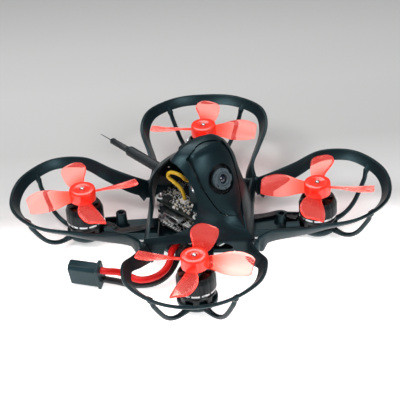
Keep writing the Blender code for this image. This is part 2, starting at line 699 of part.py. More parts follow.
def board_stack(mats):
    board("esc_board", ESC_Z, ((0, 0, 3.5, 3.5, 1.0), (-6.5, 4.5, 1.8, 2.4, 1.2), (6.5, 4.5, 1.8, 2.4, 1.2),
                               (6.5, -4.5, 1.8, 2.4, 1.2)), mats["board"], PADS)
    board("flight_controller", FC_Z, ((1.5, 0, 3.6, 3.6, 1.0), (6.8, 6.0, 1.4, 1.4, 1.2),
                                      (-4.6, 7.4, 1.5, 1.2, 1.3), (-4.6, -7.4, 1.5, 1.2, 1.3)), mats["board"])
    board("vtx_board", VTX_Z, ((1.0, 2.5, 4.6, 4.0, 1.4), (-7.0, 0.5, 1.6, 2.2, 1.2),
                               (-4.0, -8.0, 2.0, 1.4, 1.0)), mats["board"])
    bm = bmesh.new()
    usb_z = FC_Z + BOARD_THICKNESS + GAP
    shell = ((-3.0, 0), (3.0, 0), (3.9, 1.0), (3.9, 2.7), (-3.9, 2.7), (-3.9, 1.0))
    outline = [(-14.9, y, usb_z + z) for y, z in shell]
    prism(bm, outline, (5.6, 0, 0))
    usb = add_object("usb_socket", bm, mats["steel"])
    bm = bmesh.new()
    mouth = ((-2.7, 0.4), (2.7, 0.4), (3.4, 1.1), (3.4, 2.3), (-3.4, 2.3), (-3.4, 1.1))
    outline = [(-15.5, y, usb_z + z) for y, z in mouth]
    prism(bm, outline, (4.4, 0, 0))
    boolean(usb, add_object("usb_mouth_shape", bm))
    for i, (x, y) in enumerate(((-1, -1), (1, -1), (-1, 1), (1, 1))):
        bm = bmesh.new()
        turn(bm, ((0, ARM_TOP + GAP), (STACK_RADIUS, ARM_TOP + GAP), (STACK_RADIUS, STACK_TOP),
                  (0, STACK_TOP)), 10, (x * STACK_XY, y * STACK_XY, 0))
        add_object(f"stack_post_{i + 1}", bm, mats["steel"])
    bm = bmesh.new()
    turn(bm, ((0, 0), (0.9, 0), (0.9, 1.2), (0, 1.2)), 12, BUTTON_SEAT + Vector((0, 0, GAP)))
    add_object("channel_button", bm, mats["white"])


# ---------------------------------------------------------------- antenna
def antenna(mats):
    bm = bmesh.new()
    turn(bm, ((0, 0), (SLEEVE_RADIUS, 0), (SLEEVE_RADIUS, SLEEVE_LENGTH - 0.6),
              (SLEEVE_RADIUS - 0.5, SLEEVE_LENGTH), (0, SLEEVE_LENGTH)), 16, ANTENNA_START, ANTENNA_AXIS)
    add_object("antenna_sleeve", bm, mats["rubber"])
    bm = bmesh.new()
    start = SLEEVE_LENGTH + GAP
    end = start + TIP_LENGTH
    turn(bm, ((0, start), (TIP_RADIUS, start), (TIP_RADIUS, end), (WHIP_RADIUS, end),
              (WHIP_RADIUS, end + WHIP_LENGTH), (0, end + WHIP_LENGTH)), 12, ANTENNA_START, ANTENNA_AXIS)
    add_object("antenna_tip", bm, mats["rubber"])


# ---------------------------------------------------------------- battery lead
def lead(name, route, radius, mat):
    """A round wire along a route, as a curve with a round section and closed ends."""
    points = spline(route, 2)
    curve = bpy.data.curves.new(name, "CURVE")
    curve.dimensions = "3D"
    curve.bevel_depth = radius * MM
    curve.bevel_resolution = 2
    curve.use_fill_caps = True
    path = curve.splines.new("POLY")
    path.points.add(len(points) - 1)
    for item, point in zip(path.points, points):
        item.co = (*(point * MM), 1.0)
    curve.materials.append(mat)
    obj = bpy.data.objects.new(name, curve)
    bpy.context.scene.collection.objects.link(obj)
    return obj


def plug(mats):
    """A two-pin plug lying on its narrow edge: a flange at the wires and a chamfered body."""
    start = PLUG_MOUTH + PLUG_AXIS * GAP

    def section(offset, half_wide, half_tall, cut):
        middle = start + PLUG_AXIS * offset
        pts = ((-half_wide, -half_tall), (half_wide, -half_tall), (half_wide, half_tall - cut),
               (half_wide - cut, half_tall), (-half_wide + cut, half_tall), (-half_wide, half_tall - cut))
        return [middle + PLUG_SIDE * a + PLUG_UP * b for a, b in pts]

    bm = bmesh.new()
    loft(bm, [section(0, 2.9, 5.1, 0.6), section(1.2, 2.9, 5.1, 0.6)])
    body = add_object("battery_plug", bm, mats["plug"])
    bm = bmesh.new()
    loft(bm, [section(0.6, 2.5, 4.5, 1.2), section(11.7, 2.5, 4.5, 1.2)])
    boolean(body, add_object("plug_nose_shape", bm), "UNION")
    sockets = (("positive", PIN_SPACING / 2), ("negative", -PIN_SPACING / 2))
    bm = bmesh.new()
    for _, offset in sockets:
        turn(bm, ((0, 7.1), (1.6, 7.1), (1.6, 13), (0, 13)), 12, start + PLUG_UP * offset, PLUG_AXIS)
    boolean(body, add_object("plug_bores_shape", bm))
    for tag, offset in sockets:
        bm = bmesh.new()
        turn(bm, ((0, 7.4), (1.0, 7.4), (1.0, 10.8), (0.7, 11.2), (0, 11.2)), 10, start + PLUG_UP * offset,
             PLUG_AXIS)
        add_object("plug_pin_" + tag, bm, mats["brass"])


# ---------------------------------------------------------------- build
clear_scene()
MATS = {
    "frame": material("frame_nylon", (0.012, 0.022, 0.026), 0.42),
    "plastic": material("camera_plastic", (0.03, 0.04, 0.045), 0.4),
    "prop": material("prop_polycarbonate", (0.9, 0.05, 0.03), 0.25),
    "steel": material("steel", (0.6, 0.6, 0.6), 0.3, 1.0),
    "brass": material("gilt_brass", (0.75, 0.55, 0.25), 0.3, 1.0),
    "copper": material("copper_winding", (0.7, 0.3, 0.2), 0.35, 1.0),
    "bell": material("black_anodised_aluminium", (0.015, 0.02, 0.022), 0.35, 0.6),
    "board": material("black_circuit_board", (0.02, 0.03, 0.03), 0.5),
    "white": material("white_plastic", (0.8, 0.8, 0.78), 0.5),
    "glass": material("lens_glass", (0.01, 0.01, 0.02), 0.05),
    "rubber": material("heat_shrink", (0.01, 0.014, 0.016), 0.5),
    "wire_black": material("black_silicone", (0.01, 0.012, 0.014), 0.45),
    "wire_red": material("red_silicone", (0.75, 0.02, 0.02), 0.4),
    "wire_yellow": material("yellow_silicone", (0.75, 0.55, 0.08), 0.4),
    "plug": material("plug_nylon", (0.015, 0.03, 0.035), 0.5),
}

for corner_name in CORNERS:
    guard_ring(corner_name, MATS["frame"])
    arm(corner_name, MATS["frame"])
    motor_base(corner_name, MATS["bell"])
    motor_stator(corner_name, MATS["copper"])
    motor_bell(corner_name, MATS["bell"])
    motor_shaft(corner_name, MATS["steel"])
    propeller(corner_name, MATS["prop"])
    motor_wires(corner_name, MATS["wire_black"])

base_plate(MATS["frame"])
canopy_shell(MATS["frame"])
canopy_screw(MATS["steel"])
camera_cover(MATS["frame"])
camera_parts(MATS)
board_stack(MATS)
antenna(MATS)
for colour, route, sign in (("red", RED_ROUTE, 1), ("black", BLACK_ROUTE, -1)):
    end = PLUG_MOUTH + PLUG_UP * sign * PIN_SPACING / 2
    lead("battery_wire_" + colour, (*route, end), WIRE_RADIUS, MATS["wire_" + colour])
lead("camera_cable", CABLE_ROUTE, CABLE_RADIUS, MATS["wire_yellow"])
plug(MATS)
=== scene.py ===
"""FPV racing drone: a square guard frame with a domed pod, four ducted motors and a battery lead."""
import math
import random

import bmesh
import bpy
from mathutils import Matrix, Vector


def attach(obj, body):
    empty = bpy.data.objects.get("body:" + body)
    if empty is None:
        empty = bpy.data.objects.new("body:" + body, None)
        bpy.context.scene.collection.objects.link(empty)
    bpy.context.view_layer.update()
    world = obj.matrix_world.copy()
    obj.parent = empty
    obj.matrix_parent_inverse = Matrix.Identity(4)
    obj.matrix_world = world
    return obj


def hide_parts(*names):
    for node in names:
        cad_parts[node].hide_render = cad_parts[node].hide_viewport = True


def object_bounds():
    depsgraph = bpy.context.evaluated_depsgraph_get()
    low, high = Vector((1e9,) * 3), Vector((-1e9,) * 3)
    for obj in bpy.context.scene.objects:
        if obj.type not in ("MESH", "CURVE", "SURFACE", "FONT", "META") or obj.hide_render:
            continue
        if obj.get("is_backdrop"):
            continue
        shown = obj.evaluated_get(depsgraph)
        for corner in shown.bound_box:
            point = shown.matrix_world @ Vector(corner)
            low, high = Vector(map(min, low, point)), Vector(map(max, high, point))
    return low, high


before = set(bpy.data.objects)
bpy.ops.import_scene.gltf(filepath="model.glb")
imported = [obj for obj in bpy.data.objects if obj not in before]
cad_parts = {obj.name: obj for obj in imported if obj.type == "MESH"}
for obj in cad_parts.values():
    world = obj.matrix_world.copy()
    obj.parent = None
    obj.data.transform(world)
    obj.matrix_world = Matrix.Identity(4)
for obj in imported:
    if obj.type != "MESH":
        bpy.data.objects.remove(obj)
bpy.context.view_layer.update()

# ---------------------------------------------------------------- camera, floor and lights
# A sheet of white paper under a large soft light from the left, with weaker fills, seen from
# above the drone's front right corner. Painted shade turns the paper light grey towards the rear left.


def linear(colour, alpha=1.0):
    """A linear colour from a sRGB hex string."""
    parts = [int(colour[i:i + 2], 16) / 255 for i in (1, 3, 5)]
    return (*(c / 12.92 if c <= 0.04045 else ((c + 0.055) / 1.055) ** 2.4 for c in parts), alpha)


def add(mat, kind, inputs=(), **settings):
    """Add a node; inputs give sockets a value or another node's output, settings its own options."""
    item = mat.node_tree.nodes.new(kind)
    for key, value in settings.items():
        setattr(item, key, value)
    for key, value in dict(inputs).items():
        if isinstance(value, bpy.types.NodeSocket):
            mat.node_tree.links.new(value, item.inputs[key])
        else:
            item.inputs[key].default_value = value
    return item


def new_material(name, **sockets):
    """A material with constant values on its Principled shader; returns the material and shader."""
    mat = bpy.data.materials.new(name)
    mat.use_nodes = True
    shader = mat.node_tree.nodes["Principled BSDF"]
    for key, value in sockets.items():
        shader.inputs[key.replace("_", " ")].default_value = value
    return mat, shader


camera_data = bpy.data.cameras.new("camera")
camera_data.lens = 129.9
camera_data.shift_x = 0.00245
camera_data.shift_y = -0.0376
camera_data.clip_start = 0.01
camera = bpy.data.objects.new("camera", camera_data)
right = Vector((0.7324, -0.6783, -0.0596))
up = Vector((0.4089, 0.3682, 0.8350))
back = Vector((-0.5444, -0.6359, 0.5470))
turned = Matrix((right, up, back)).transposed().to_4x4()
camera.matrix_world = Matrix.Translation((-0.28958, -0.33827, 0.31345)) @ turned
bpy.context.scene.collection.objects.link(camera)
bpy.context.scene.camera = camera
bpy.context.scene.view_settings.view_transform = "Standard"

bm = bmesh.new()
bmesh.ops.create_grid(bm, x_segments=1, y_segments=1, size=1.5)
bmesh.ops.translate(bm, verts=bm.verts, vec=(0, 0, -0.0002))
mesh = bpy.data.meshes.new("paper_floor")
bm.to_mesh(mesh)
bm.free()
floor = bpy.data.objects.new("paper_floor", mesh)
bpy.context.scene.collection.objects.link(floor)
# matt paper: no gloss; its colour carries painted shade, from white to light grey along the floor,
# and a little painted glow of its own where it has to stay pure white
paper, shader = new_material("white_paper", Roughness=0.9)
place = add(paper, "ShaderNodeTexCoord").outputs["Object"]
away = add(paper, "ShaderNodeVectorMath", {0: place, 1: (0.65, 0.76, 0.0)},
           operation="DOT_PRODUCT").outputs["Value"]
along_floor = add(paper, "ShaderNodeMapRange",
                  {"Value": away, "From Min": -0.01, "From Max": 0.25}).outputs[0]
# painted shade: the paper's colour darkens from white to light grey away from the front
painted_shade_ramp = add(paper, "ShaderNodeValToRGB", {"Fac": along_floor})
for where, tone in ((0.12, "#e8e8e8"), (0.29, "#cbcbca"), (0.48, "#d0d0cf"), (0.64, "#cbcbca")):
    painted_shade_ramp.color_ramp.elements.new(where).color = linear(tone)
painted_shade_ramp.color_ramp.elements[0].color = linear("#ffffff")
painted_shade_ramp.color_ramp.elements[-1].color = linear("#acacab")
# painted glow: the paper gives off light of its own near the front, fading out along the floor
glow = add(paper, "ShaderNodeMapRange",
           {"Value": along_floor, "From Max": 0.12, "To Min": 0.8, "To Max": 0.0}).outputs[0]
paper.node_tree.links.new(painted_shade_ramp.outputs[0], shader.inputs["Base Color"])
paper.node_tree.links.new(painted_shade_ramp.outputs[0], shader.inputs["Emission Color"])
paper.node_tree.links.new(glow, shader.inputs["Emission Strength"])
floor.data.materials.append(paper)
floor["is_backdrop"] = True

world = bpy.data.worlds.new("studio")
world.use_nodes = True
world.node_tree.nodes["Background"].inputs[0].default_value = linear("#eef2f5")
world.node_tree.nodes["Background"].inputs[1].default_value = 0.12
bpy.context.scene.world = world
LIGHTS = (                      # name, place and size in metres, watts
    ("key", (-0.3, 0.1, 0.5), 0.3, 2.0),
    ("top", (0.2, 0.3, 0.5), 0.3, 1.2),
    ("fill", (0.0, -0.5, 0.42), 0.25, 1.5),
)
for name, place, size, power in LIGHTS:
    light = bpy.data.lights.new(name, "AREA")
    light.shape = "SQUARE"
    light.size = size
    light.energy = power
    lamp = bpy.data.objects.new(name, light)
    lamp.location = place
    lamp.rotation_euler = (-Vector(place)).to_track_quat("-Z", "Y").to_euler()
    bpy.context.scene.collection.objects.link(lamp)


# ---------------------------------------------------------------- battery lead
# Two soft silicone wires, red over black, run from the pads on the lowest board under the pod's
# rim and curl back to the plug. Each is one moulded skin, so it is a round tube with fine grain.
MM = 0.001


def spline(points, steps):
    """Points on a smooth curve through the given ones (Catmull-Rom)."""
    pts = [Vector(p) for p in points]
    ends = [2 * pts[0] - pts[1]] + pts + [2 * pts[-1] - pts[-2]]
    out = []
    for a, b, c, d in zip(ends, ends[1:], ends[2:], ends[3:]):
        for k in range(steps):
            t = k / steps
            out.append(0.5 * ((2 * b) + (c - a) * t + (2 * a - 5 * b + 4 * c - d) * t * t
                              + (3 * b - a - 3 * c + d) * t ** 3))
    out.append(pts[-1])
    return out


def mottle(mat, shader, dark, light, patch, detail=2.0):
    """Let the colour drift between two tones over patches of a size in mm."""
    place = add(mat, "ShaderNodeTexCoord").outputs["Object"]
    drift = add(mat, "ShaderNodeTexNoise",
                {"Vector": place, "Scale": 1000 / patch, "Detail": detail}).outputs["Fac"]
    tint = add(mat, "ShaderNodeMix", {"Factor": drift, 6: linear(dark), 7: linear(light)}, data_type="RGBA")
    mat.node_tree.links.new(tint.outputs[2], shader.inputs["Base Color"])
    return place


def skin(name, dark, light, patch, grain, relief, rough=(0.35, 0.5), **sockets):
    """A moulded or rubbed surface: colour drifts over patches, grain roughens and embosses it.
    patch, grain and relief are in mm; rough is the lowest and highest roughness."""
    mat, shader = new_material(name, **sockets)
    place = mottle(mat, shader, dark, light, patch, 3.0)
    fine = add(mat, "ShaderNodeTexNoise",
               {"Vector": place, "Scale": 1000 / grain, "Detail": 4.0}).outputs["Fac"]
    polish = add(mat, "ShaderNodeMapRange", {"Value": fine, "From Min": 0.3, "From Max": 0.7,
                                             "To Min": rough[0], "To Max": rough[1]}).outputs[0]
    mat.node_tree.links.new(polish, shader.inputs["Roughness"])
    bump = add(mat, "ShaderNodeBump", {"Height": fine, "Distance": relief * MM, "Strength": 1.0})
    mat.node_tree.links.new(bump.outputs[0], shader.inputs["Normal"])
    return mat


def finish(obj, body, slot, *nodes):
    """Let a piece ride on its body in place of the solids that it stands for."""
    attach(obj, body)
    if nodes:
        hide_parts(*nodes)
    return obj


def wire(name, path, radius, mat, body, slot, *nodes):
    """A round wire along a path in mm."""
    curve = bpy.data.curves.new(name, "CURVE")
    curve.dimensions = "3D"
    curve.bevel_depth = radius * MM
    curve.bevel_resolution = 5
    curve.use_fill_caps = True
    line = curve.splines.new("POLY")
    line.points.add(len(path) - 1)
    for item, point in zip(line.points, path):
        item.co = (*(point * MM), 1.0)
    line.use_smooth = True
    curve.materials.append(mat)
    obj = bpy.data.objects.new(name, curve)
    bpy.context.scene.collection.objects.link(obj)
    return finish(obj, body, slot, *nodes)


RED_ROUTE = (
    (-14.6, -4.6, 7.2), (-16.4, -4.8, 7.2), (-18.8, -5.8, 7.2), (-21.6, -7.4, 7.4), (-24.5, -10.0, 7.5),
    (-27.0, -11.9, 7.1), (-29.8, -12.8, 6.3), (-32.4, -12.6, 5.5), (-34.8, -11.7, 5.0), (-36.9, -10.3, 4.7),
    (-38.6, -8.5, 4.7), (-39.6, -6.3, 5.0), (-40.8, -3.9, 5.9), (-42.9, -1.9, 7.1), (-45.7, 0.1, 7.9),
    (-47.01, 2.1, 8.08),
)
BLACK_ROUTE = (
    (-14.6, -7.7, 7.2), (-16.2, -7.7, 7.0), (-18.2, -7.9, 5.6), (-20.4, -8.9, 4.7), (-22.6, -10.1, 4.2),
    (-24.8, -11.1, 3.6), (-27.8, -11.9, 2.9), (-31.3, -11.9, 2.3), (-34.2, -10.8, 1.8), (-36.5, -9.1, 1.6),
    (-38.8, -6.8, 1.6), (-40.8, -4.3, 1.9), (-42.7, -1.6, 2.5), (-44.7, 0.7, 3.1), (-45.99, 2.7, 3.32),
)
WIRE_RADIUS = 1.25
# moulded silicone: a soft sheen over a fine, even grain
silicone_red = skin("red_silicone", "#d20808", "#f01512", 4.0, 0.25, 0.008, (0.38, 0.5),
                    Specular_IOR_Level=0.35)
silicone_black = skin("black_silicone", "#101619", "#1c262a", 9.0, 0.25, 0.01, (0.34, 0.46))
red_wire = wire("lead_red", spline(RED_ROUTE, 4), WIRE_RADIUS, silicone_red, "frame", "wire_red",
                "battery_wire_red")
black_wire = wire("lead_black", spline(BLACK_ROUTE, 4), WIRE_RADIUS, silicone_black, "frame", "wire_black",
                  "battery_wire_black")


# ---------------------------------------------------------------- battery plug
# A two-pin plug of dark nylon that lies on its narrow edge: a flange at the wires, then a longer
# body with two chamfered corners. Its two gilt pins sit deep in round sockets.
def loft(bm, loops, close=True):
    """Skin closed loops of equally many points and close both ends."""
    rows = [[bm.verts.new(point) for point in loop] for loop in loops]
    count = len(rows[0])
    for low, high in zip(rows, rows[1:]):
        for i in range(count):
            j = (i + 1) % count
            bm.faces.new((low[i], low[j], high[j], high[i]))
    if close:
        bm.faces.new(list(reversed(rows[0])))
        bm.faces.new(rows[-1])
    return rows


def turn(bm, profile, sides, centre=(0, 0, 0), axis=(0, 0, 1)):
    """Turn a closed profile of (radius, height) points round an axis."""
    frame_of = Vector(axis).to_track_quat("Z", "Y").to_matrix().to_4x4()
    place = Matrix.Translation(centre) @ frame_of
    rows = []
    for radius, height in profile:
        if radius < 1e-6:
            rows.append([bm.verts.new(place @ Vector((0, 0, height)))] * sides)
            continue
        angles = [2 * math.pi * i / sides for i in range(sides)]
        rows.append([bm.verts.new(place @ Vector((radius * math.cos(a), radius * math.sin(a), height)))
                     for a in angles])
    for low, high in zip(rows, rows[1:] + rows[:1]):
        for i in range(sides):
            j = (i + 1) % sides
            corners = list(dict.fromkeys((low[i], low[j], high[j], high[i])))
            if len(corners) > 2:
                bm.faces.new(corners)


def prism(bm, outline, depth_vector):
    """Extrude a flat outline of 3-D points along a vector."""
    loft(bm, [[Vector(p) for p in outline], [Vector(p) + Vector(depth_vector) for p in outline]])


def make(name, bm, *mats, bevel=0.0, segments=2, sharp=35):
    """An object from a bmesh in mm, with small rounded edges if it has a bevel."""
    bmesh.ops.recalc_face_normals(bm, faces=bm.faces)
    bmesh.ops.scale(bm, verts=bm.verts, vec=(MM, MM, MM))
    mesh = bpy.data.meshes.new(name)
    bm.to_mesh(mesh)
    bm.free()
    for mat in mats:
        mesh.materials.append(mat)
    mesh.shade_smooth()
    mesh.set_sharp_from_angle(angle=math.radians(sharp))
    obj = bpy.data.objects.new(name, mesh)
    bpy.context.scene.collection.objects.link(obj)
    if bevel:
        mod = obj.modifiers.new("rounded_edges", "BEVEL")
        mod.width = bevel * MM
        mod.segments = segments
        mod.limit_method = "ANGLE"
        mod.angle_limit = math.radians(sharp)
        mod.profile = 0.5
        mod.affect = "EDGES"
        mod.material = -1
    return obj


def cut(obj, *cutters, operation="DIFFERENCE"):
    """Apply exact Booleans to an object and remove the cutters."""
    for cutter in cutters:
        for other in obj.modifiers:
            other.show_viewport = False
        mod = obj.modifiers.new("cut", "BOOLEAN")
        mod.object = cutter
        mod.operation = operation
        mod.solver = "EXACT"
        bpy.context.view_layer.update()
        old = obj.data
        mesh = bpy.data.meshes.new_from_object(obj.evaluated_get(bpy.context.evaluated_depsgraph_get()))
        obj.modifiers.remove(mod)
        obj.data = mesh
        for other in obj.modifiers:
            other.show_viewport = True
        bpy.data.meshes.remove(old)
        bpy.data.objects.remove(cutter)
    return obj


PLUG_AXIS = Vector((-0.5, 0.866, 0.0)).normalized()
PLUG_LEAN = math.radians(14)
PIN_OFFSET = 2.45
across = Vector((-PLUG_AXIS.y, PLUG_AXIS.x, 0))
PLUG_UP = math.cos(PLUG_LEAN) * Vector((0, 0, 1)) + math.sin(PLUG_LEAN) * across
PLUG_SIDE = math.cos(PLUG_LEAN) * across - math.sin(PLUG_LEAN) * Vector((0, 0, 1))
plug_start = Vector((-46.5, 2.4, 5.7)) + PLUG_AXIS * 0.3


def plug_section(offset, half_wide, half_tall, cut_off):
    """The plug's outline at a distance along it, with its two upper corners cut off."""
    middle = plug_start + PLUG_AXIS * offset
    pts = ((-half_wide, -half_tall), (half_wide, -half_tall), (half_wide, half_tall - cut_off),
           (half_wide - cut_off, half_tall), (-half_wide + cut_off, half_tall),
           (-half_wide, half_tall - cut_off))
    return [middle + PLUG_SIDE * a + PLUG_UP * b for a, b in pts]


# moulded nylon: matt, with a blue-green tone
nylon_plug = skin("plug_nylon", "#0a262c", "#153b43", 5.0, 0.3, 0.012, (0.42, 0.58),
                  Specular_IOR_Level=0.35)
bm = bmesh.new()
loft(bm, [plug_section(0, 2.9, 5.1, 0.6), plug_section(1.2, 2.9, 5.1, 0.6)])
loft(bm, [plug_section(0.6, 2.5, 4.5, 1.2), plug_section(11.7, 2.5, 4.5, 1.2)])
plug = make("plug_body", bm, nylon_plug, bevel=0.25)
bm = bmesh.new()
pin_places = [plug_start + PLUG_UP * offset for offset in (PIN_OFFSET, -PIN_OFFSET)]
for place in pin_places:
    turn(bm, ((0, 7.1), (1.6, 7.1), (1.6, 13), (0, 13)), 32, place, PLUG_AXIS)
cut(plug, make("plug_bores", bm))
finish(plug, "frame", "plug_nylon", "battery_plug")

# gold plating: a warm metal, a little worn by the socket
gilt = skin("gilt_pin", "#b98f3c", "#e2c071", 3.0, 0.1, 0.004, (0.2, 0.35), Metallic=1.0)
for tag, place in zip(("positive", "negative"), pin_places):
    bm = bmesh.new()
    turn(bm, ((0, 7.4), (1.0, 7.4), (1.0, 10.6), (0.75, 11.1), (0.3, 11.2), (0, 11.2)), 24, place, PLUG_AXIS)
    finish(make("plug_contact_" + tag, bm, gilt), "frame", "pin_brass", "plug_pin_" + tag)


# ---------------------------------------------------------------- guard rings
# Four thin bands of the one-piece nylon frame, each round one propeller, joined at the valleys.
# The top edge carries a fine groove between two rounded lips; a small tooth hangs by each valley.
WHEELBASE = 87.0
MOTOR_XY = WHEELBASE / 2 / math.sqrt(2)
CORNERS = {                     # name: (x sign, y sign, spin, blade angle in degrees, wire post top)
    "front_right": (-1, -1, 1, 32, 9.0),
    "front_left": (1, -1, -1, 40, 9.0),
    "rear_right": (-1, 1, -1, 66, 11.4),
    "rear_left": (1, 1, 1, 38, 11.4),
}
GUARD_KNOTS = (                 # out, along, height, depth, inward lean
    (27.1, 0.0, 20.7, 3.1, 2.8),
    (24.3, 12.5, 21.1, 3.1, 2.8),
    (14.6, 22.9, 21.4, 3.1, 2.7),
    (2.0, 25.3, 20.4, 3.6, 2.6),
    (-8.6, 22.3, 16.9, 4.8, 2.6),
    (-17.0, 19.8, 14.6, 6.2, 2.6),
)
GUARD_VALLEY = (29.4, 11.6, 6.4, 2.4)     # distance from the drone's middle, height, depth, lean
GUARD_STEPS = 9
TOOTH_DEPTH = 2.4
TOOTH_TAPER = 1.2
TOOTH_STATION = 5
# moulded nylon: near black with a cool sheen; its grain is drawn coarser than real, so that it shows
nylon = skin("frame_nylon", "#061216", "#0f2026", 9.0, 0.35, 0.025, (0.3, 0.44),
             Specular_IOR_Level=0.55, Specular_Tint=linear("#a9d6e0"))


def motor_frame(corner):
    """The motor's place, its outward direction and the direction along the guard."""
    sx, sy = CORNERS[corner][:2]
    centre = Vector((sx * MOTOR_XY, sy * MOTOR_XY, 0))
    out = Vector((sx, sy, 0)).normalized()
    return centre, out, Vector((-out.y, out.x, 0))


reach, height, depth, lean = GUARD_VALLEY
valley = ((reach - WHEELBASE / math.sqrt(2)) / math.sqrt(2), reach / math.sqrt(2), height, depth, lean)
half = list(GUARD_KNOTS) + [valley]
knots = [(u, -v, *rest) for u, v, *rest in reversed(half[1:])] + half
guard_edge = spline([k[:3] for k in knots], GUARD_STEPS)
guard_shape = spline([(k[3], k[4], 0) for k in knots], GUARD_STEPS)
for corner in CORNERS:
    centre, out, along = motor_frame(corner)
    path = [centre + e.x * out + e.y * along + Vector((0, 0, e.z)) for e in guard_edge]
    last = len(path) - 1
    loops = []
    for i, point in enumerate(path):
        ahead = (path[min(i + 1, last)] - path[max(i - 1, 0)]).normalized()
        inward = Vector((0, 0, 1)).cross(ahead).normalized()
        if i in (0, last):
            axis = Vector((round(point.x / 40), round(point.y / 40), 0))
            inward = (centre - axis * centre.dot(axis)).normalized()
        near = min(i, last - i)
        tooth = max(0.0, TOOTH_DEPTH - abs(near - TOOTH_STATION) * TOOTH_TAPER)
        depth, lean = guard_shape[i].x + tooth, guard_shape[i].y
        section = ((0, -0.3), (0.08, -0.1), (0.25, 0), (0.42, -0.04), (0.5, -0.28), (0.74, -0.28),
                   (0.82, -0.04), (1.0, 0), (1.14, -0.1), (1.22, -0.35), (lean + 0.92, -depth + 0.42),
                   (lean + 0.86, -depth + 0.14), (lean + 0.6, -depth), (lean + 0.1, -depth + 0.02),
                   (lean - 0.35, -depth + 0.3), (lean - 0.62, -depth + 0.62), (0.06, -0.8))
        loops.append([point + inward * a + Vector((0, 0, b)) for a, b in section])
    bm = bmesh.new()
    loft(bm, loops)
    finish(make("guard_" + corner, bm, nylon, sharp=50), "frame", "frame_nylon", "guard_ring_" + corner)


# ---------------------------------------------------------------- arms, seats, feet and struts
# The lower half of the same moulding: each arm is a bar with low side walls, a round motor seat
# on a bulb-shaped foot, a hollow post for the motor wires and two thin struts up to the guard.
STRUT_KNOTS = (                 # out, along, height
    (19.4, 15.0, 19.5), (18.7, 14.4, 17.6), (18.3, 14, 16.3), (17.6, 13.2, 13.6), (13.9, 10.1, 6.4),
    (9.8, 6.8, 3.2), (5, 2.6, 3.2),
)
POST_REACH = 29.9
ARM_BOTTOM = 1.6
ARM_TOP = 4.9


def tube(bm, path, radii, sides, squash=1.0):
    """A round or oval rod along a path, kept upright, with a radius for each point."""
    loops = []
    for i, point in enumerate(path):
        ahead = path[min(i + 1, len(path) - 1)] - path[max(i - 1, 0)]
        side = ahead.cross(Vector((0, 0, 1))).normalized()
        top = side.cross(ahead).normalized()
        loops.append([point + radii[i] * (math.cos(a) * side + squash * math.sin(a) * top)
                      for a in (2 * math.pi * k / sides for k in range(sides))])
    loft(bm, loops)


for corner in CORNERS:
    centre, out, along = motor_frame(corner)

    def on_arm(u, v, z):
        """A point by its distance out along the arm, across it and up."""
        return out * u + along * v + Vector((0, 0, z))

    seat_u = WHEELBASE / 2
    post_top = CORNERS[corner][4]
    bm = bmesh.new()
    bar = [on_arm(16.4, -5.0, ARM_BOTTOM), on_arm(seat_u - 2, -3.6, ARM_BOTTOM),
           on_arm(seat_u - 2, 3.6, ARM_BOTTOM), on_arm(16.4, 5.0, ARM_BOTTOM)]
    prism(bm, bar, (0, 0, ARM_TOP - ARM_BOTTOM))
    for side in (-1, 1):
        wall = [on_arm(31.6, side * 3.9, ARM_TOP - 0.5), on_arm(36.6, side * 3.4, ARM_TOP - 0.5),
                on_arm(36.6, side * 2.6, ARM_TOP - 0.5), on_arm(31.6, side * 3.1, ARM_TOP - 0.5)]
        prism(bm, wall, (0, 0, 2.6))
    turn(bm, ((0, 3.0), (2.9, 3.0), (2.9, ARM_TOP), (2.35, ARM_TOP + 0.6), (2.1, ARM_TOP + 1.4),
              (1.95, post_top - 0.25), (1.75, post_top), (1.25, post_top), (1.1, post_top - 0.2),
              (1.1, post_top - 3), (0, post_top - 3)), 40, on_arm(POST_REACH, 0, 0))
    arm = make("arm_bar_" + corner, bm, nylon, bevel=0.3)
    bm = bmesh.new()
    turn(bm, ((0, ARM_TOP), (7.1, ARM_TOP), (7.3, ARM_TOP - 0.2), (7.3, 3.4), (6.9, 2.7), (5.9, 1.8),
              (4.4, 1.35), (3.3, 1.15), (2.75, 0.85), (2.45, 0.4), (1.9, 0.08), (1.2, 0), (0, 0)),
         56, centre)
    for side in (-1, 1):
        path = [centre + out * u + along * side * v + Vector((0, 0, z))
                for u, v, z in spline(STRUT_KNOTS, 8)]
        count = len(path) - 1
        radii = [0.86 + 0.3 * max(0, 1 - abs(i - 8) / 8) - 0.4 * max(0, 1 - i / 8)
                 + 0.5 * max(0, (i - count + 10) / 10) ** 2 for i in range(len(path))]
        tube(bm, path, radii, 16)
    finish(make("arm_seat_" + corner, bm, nylon, sharp=60), "frame", "frame_nylon")
    finish(arm, "frame", "frame_nylon", "arm_" + corner)

# ---------------------------------------------------------------- base plate
# The flat floor between the arms, with four long slots that save weight and show its thickness.
bm = bmesh.new()
outline = []
for k in range(4):
    out = Vector((math.cos(math.pi / 4 + k * math.pi / 2), math.sin(math.pi / 4 + k * math.pi / 2), 0))
    along = Vector((-out.y, out.x, 0))
    outline += [out * 16.1 + along * v + Vector((0, 0, 3.0)) for v in (-11.5, 11.5)]
prism(bm, outline, (0, 0, 1.9))
plate = make("base_floor", bm, nylon, bevel=0.3)
bm = bmesh.new()
for k in range(4):
    out = Vector((math.cos(k * math.pi / 2), math.sin(k * math.pi / 2), 0))
    along = Vector((-out.y, out.x, 0))
    middle = out * 14.2
    sweep = [math.pi * i / 10 for i in range(11)]
    round_ends = [(1, a) for a in sweep] + [(-1, math.pi - a) for a in sweep]
    slot = [middle + along * (4.2 * s) + (out * math.cos(a) + along * s * math.sin(a)) * 1.1
            + Vector((0, 0, 1)) for s, a in round_ends]
    prism(bm, slot, (0, 0, 6))
cut(plate, make("floor_slots", bm))
finish(plate, "frame", "frame_nylon", "base_plate")

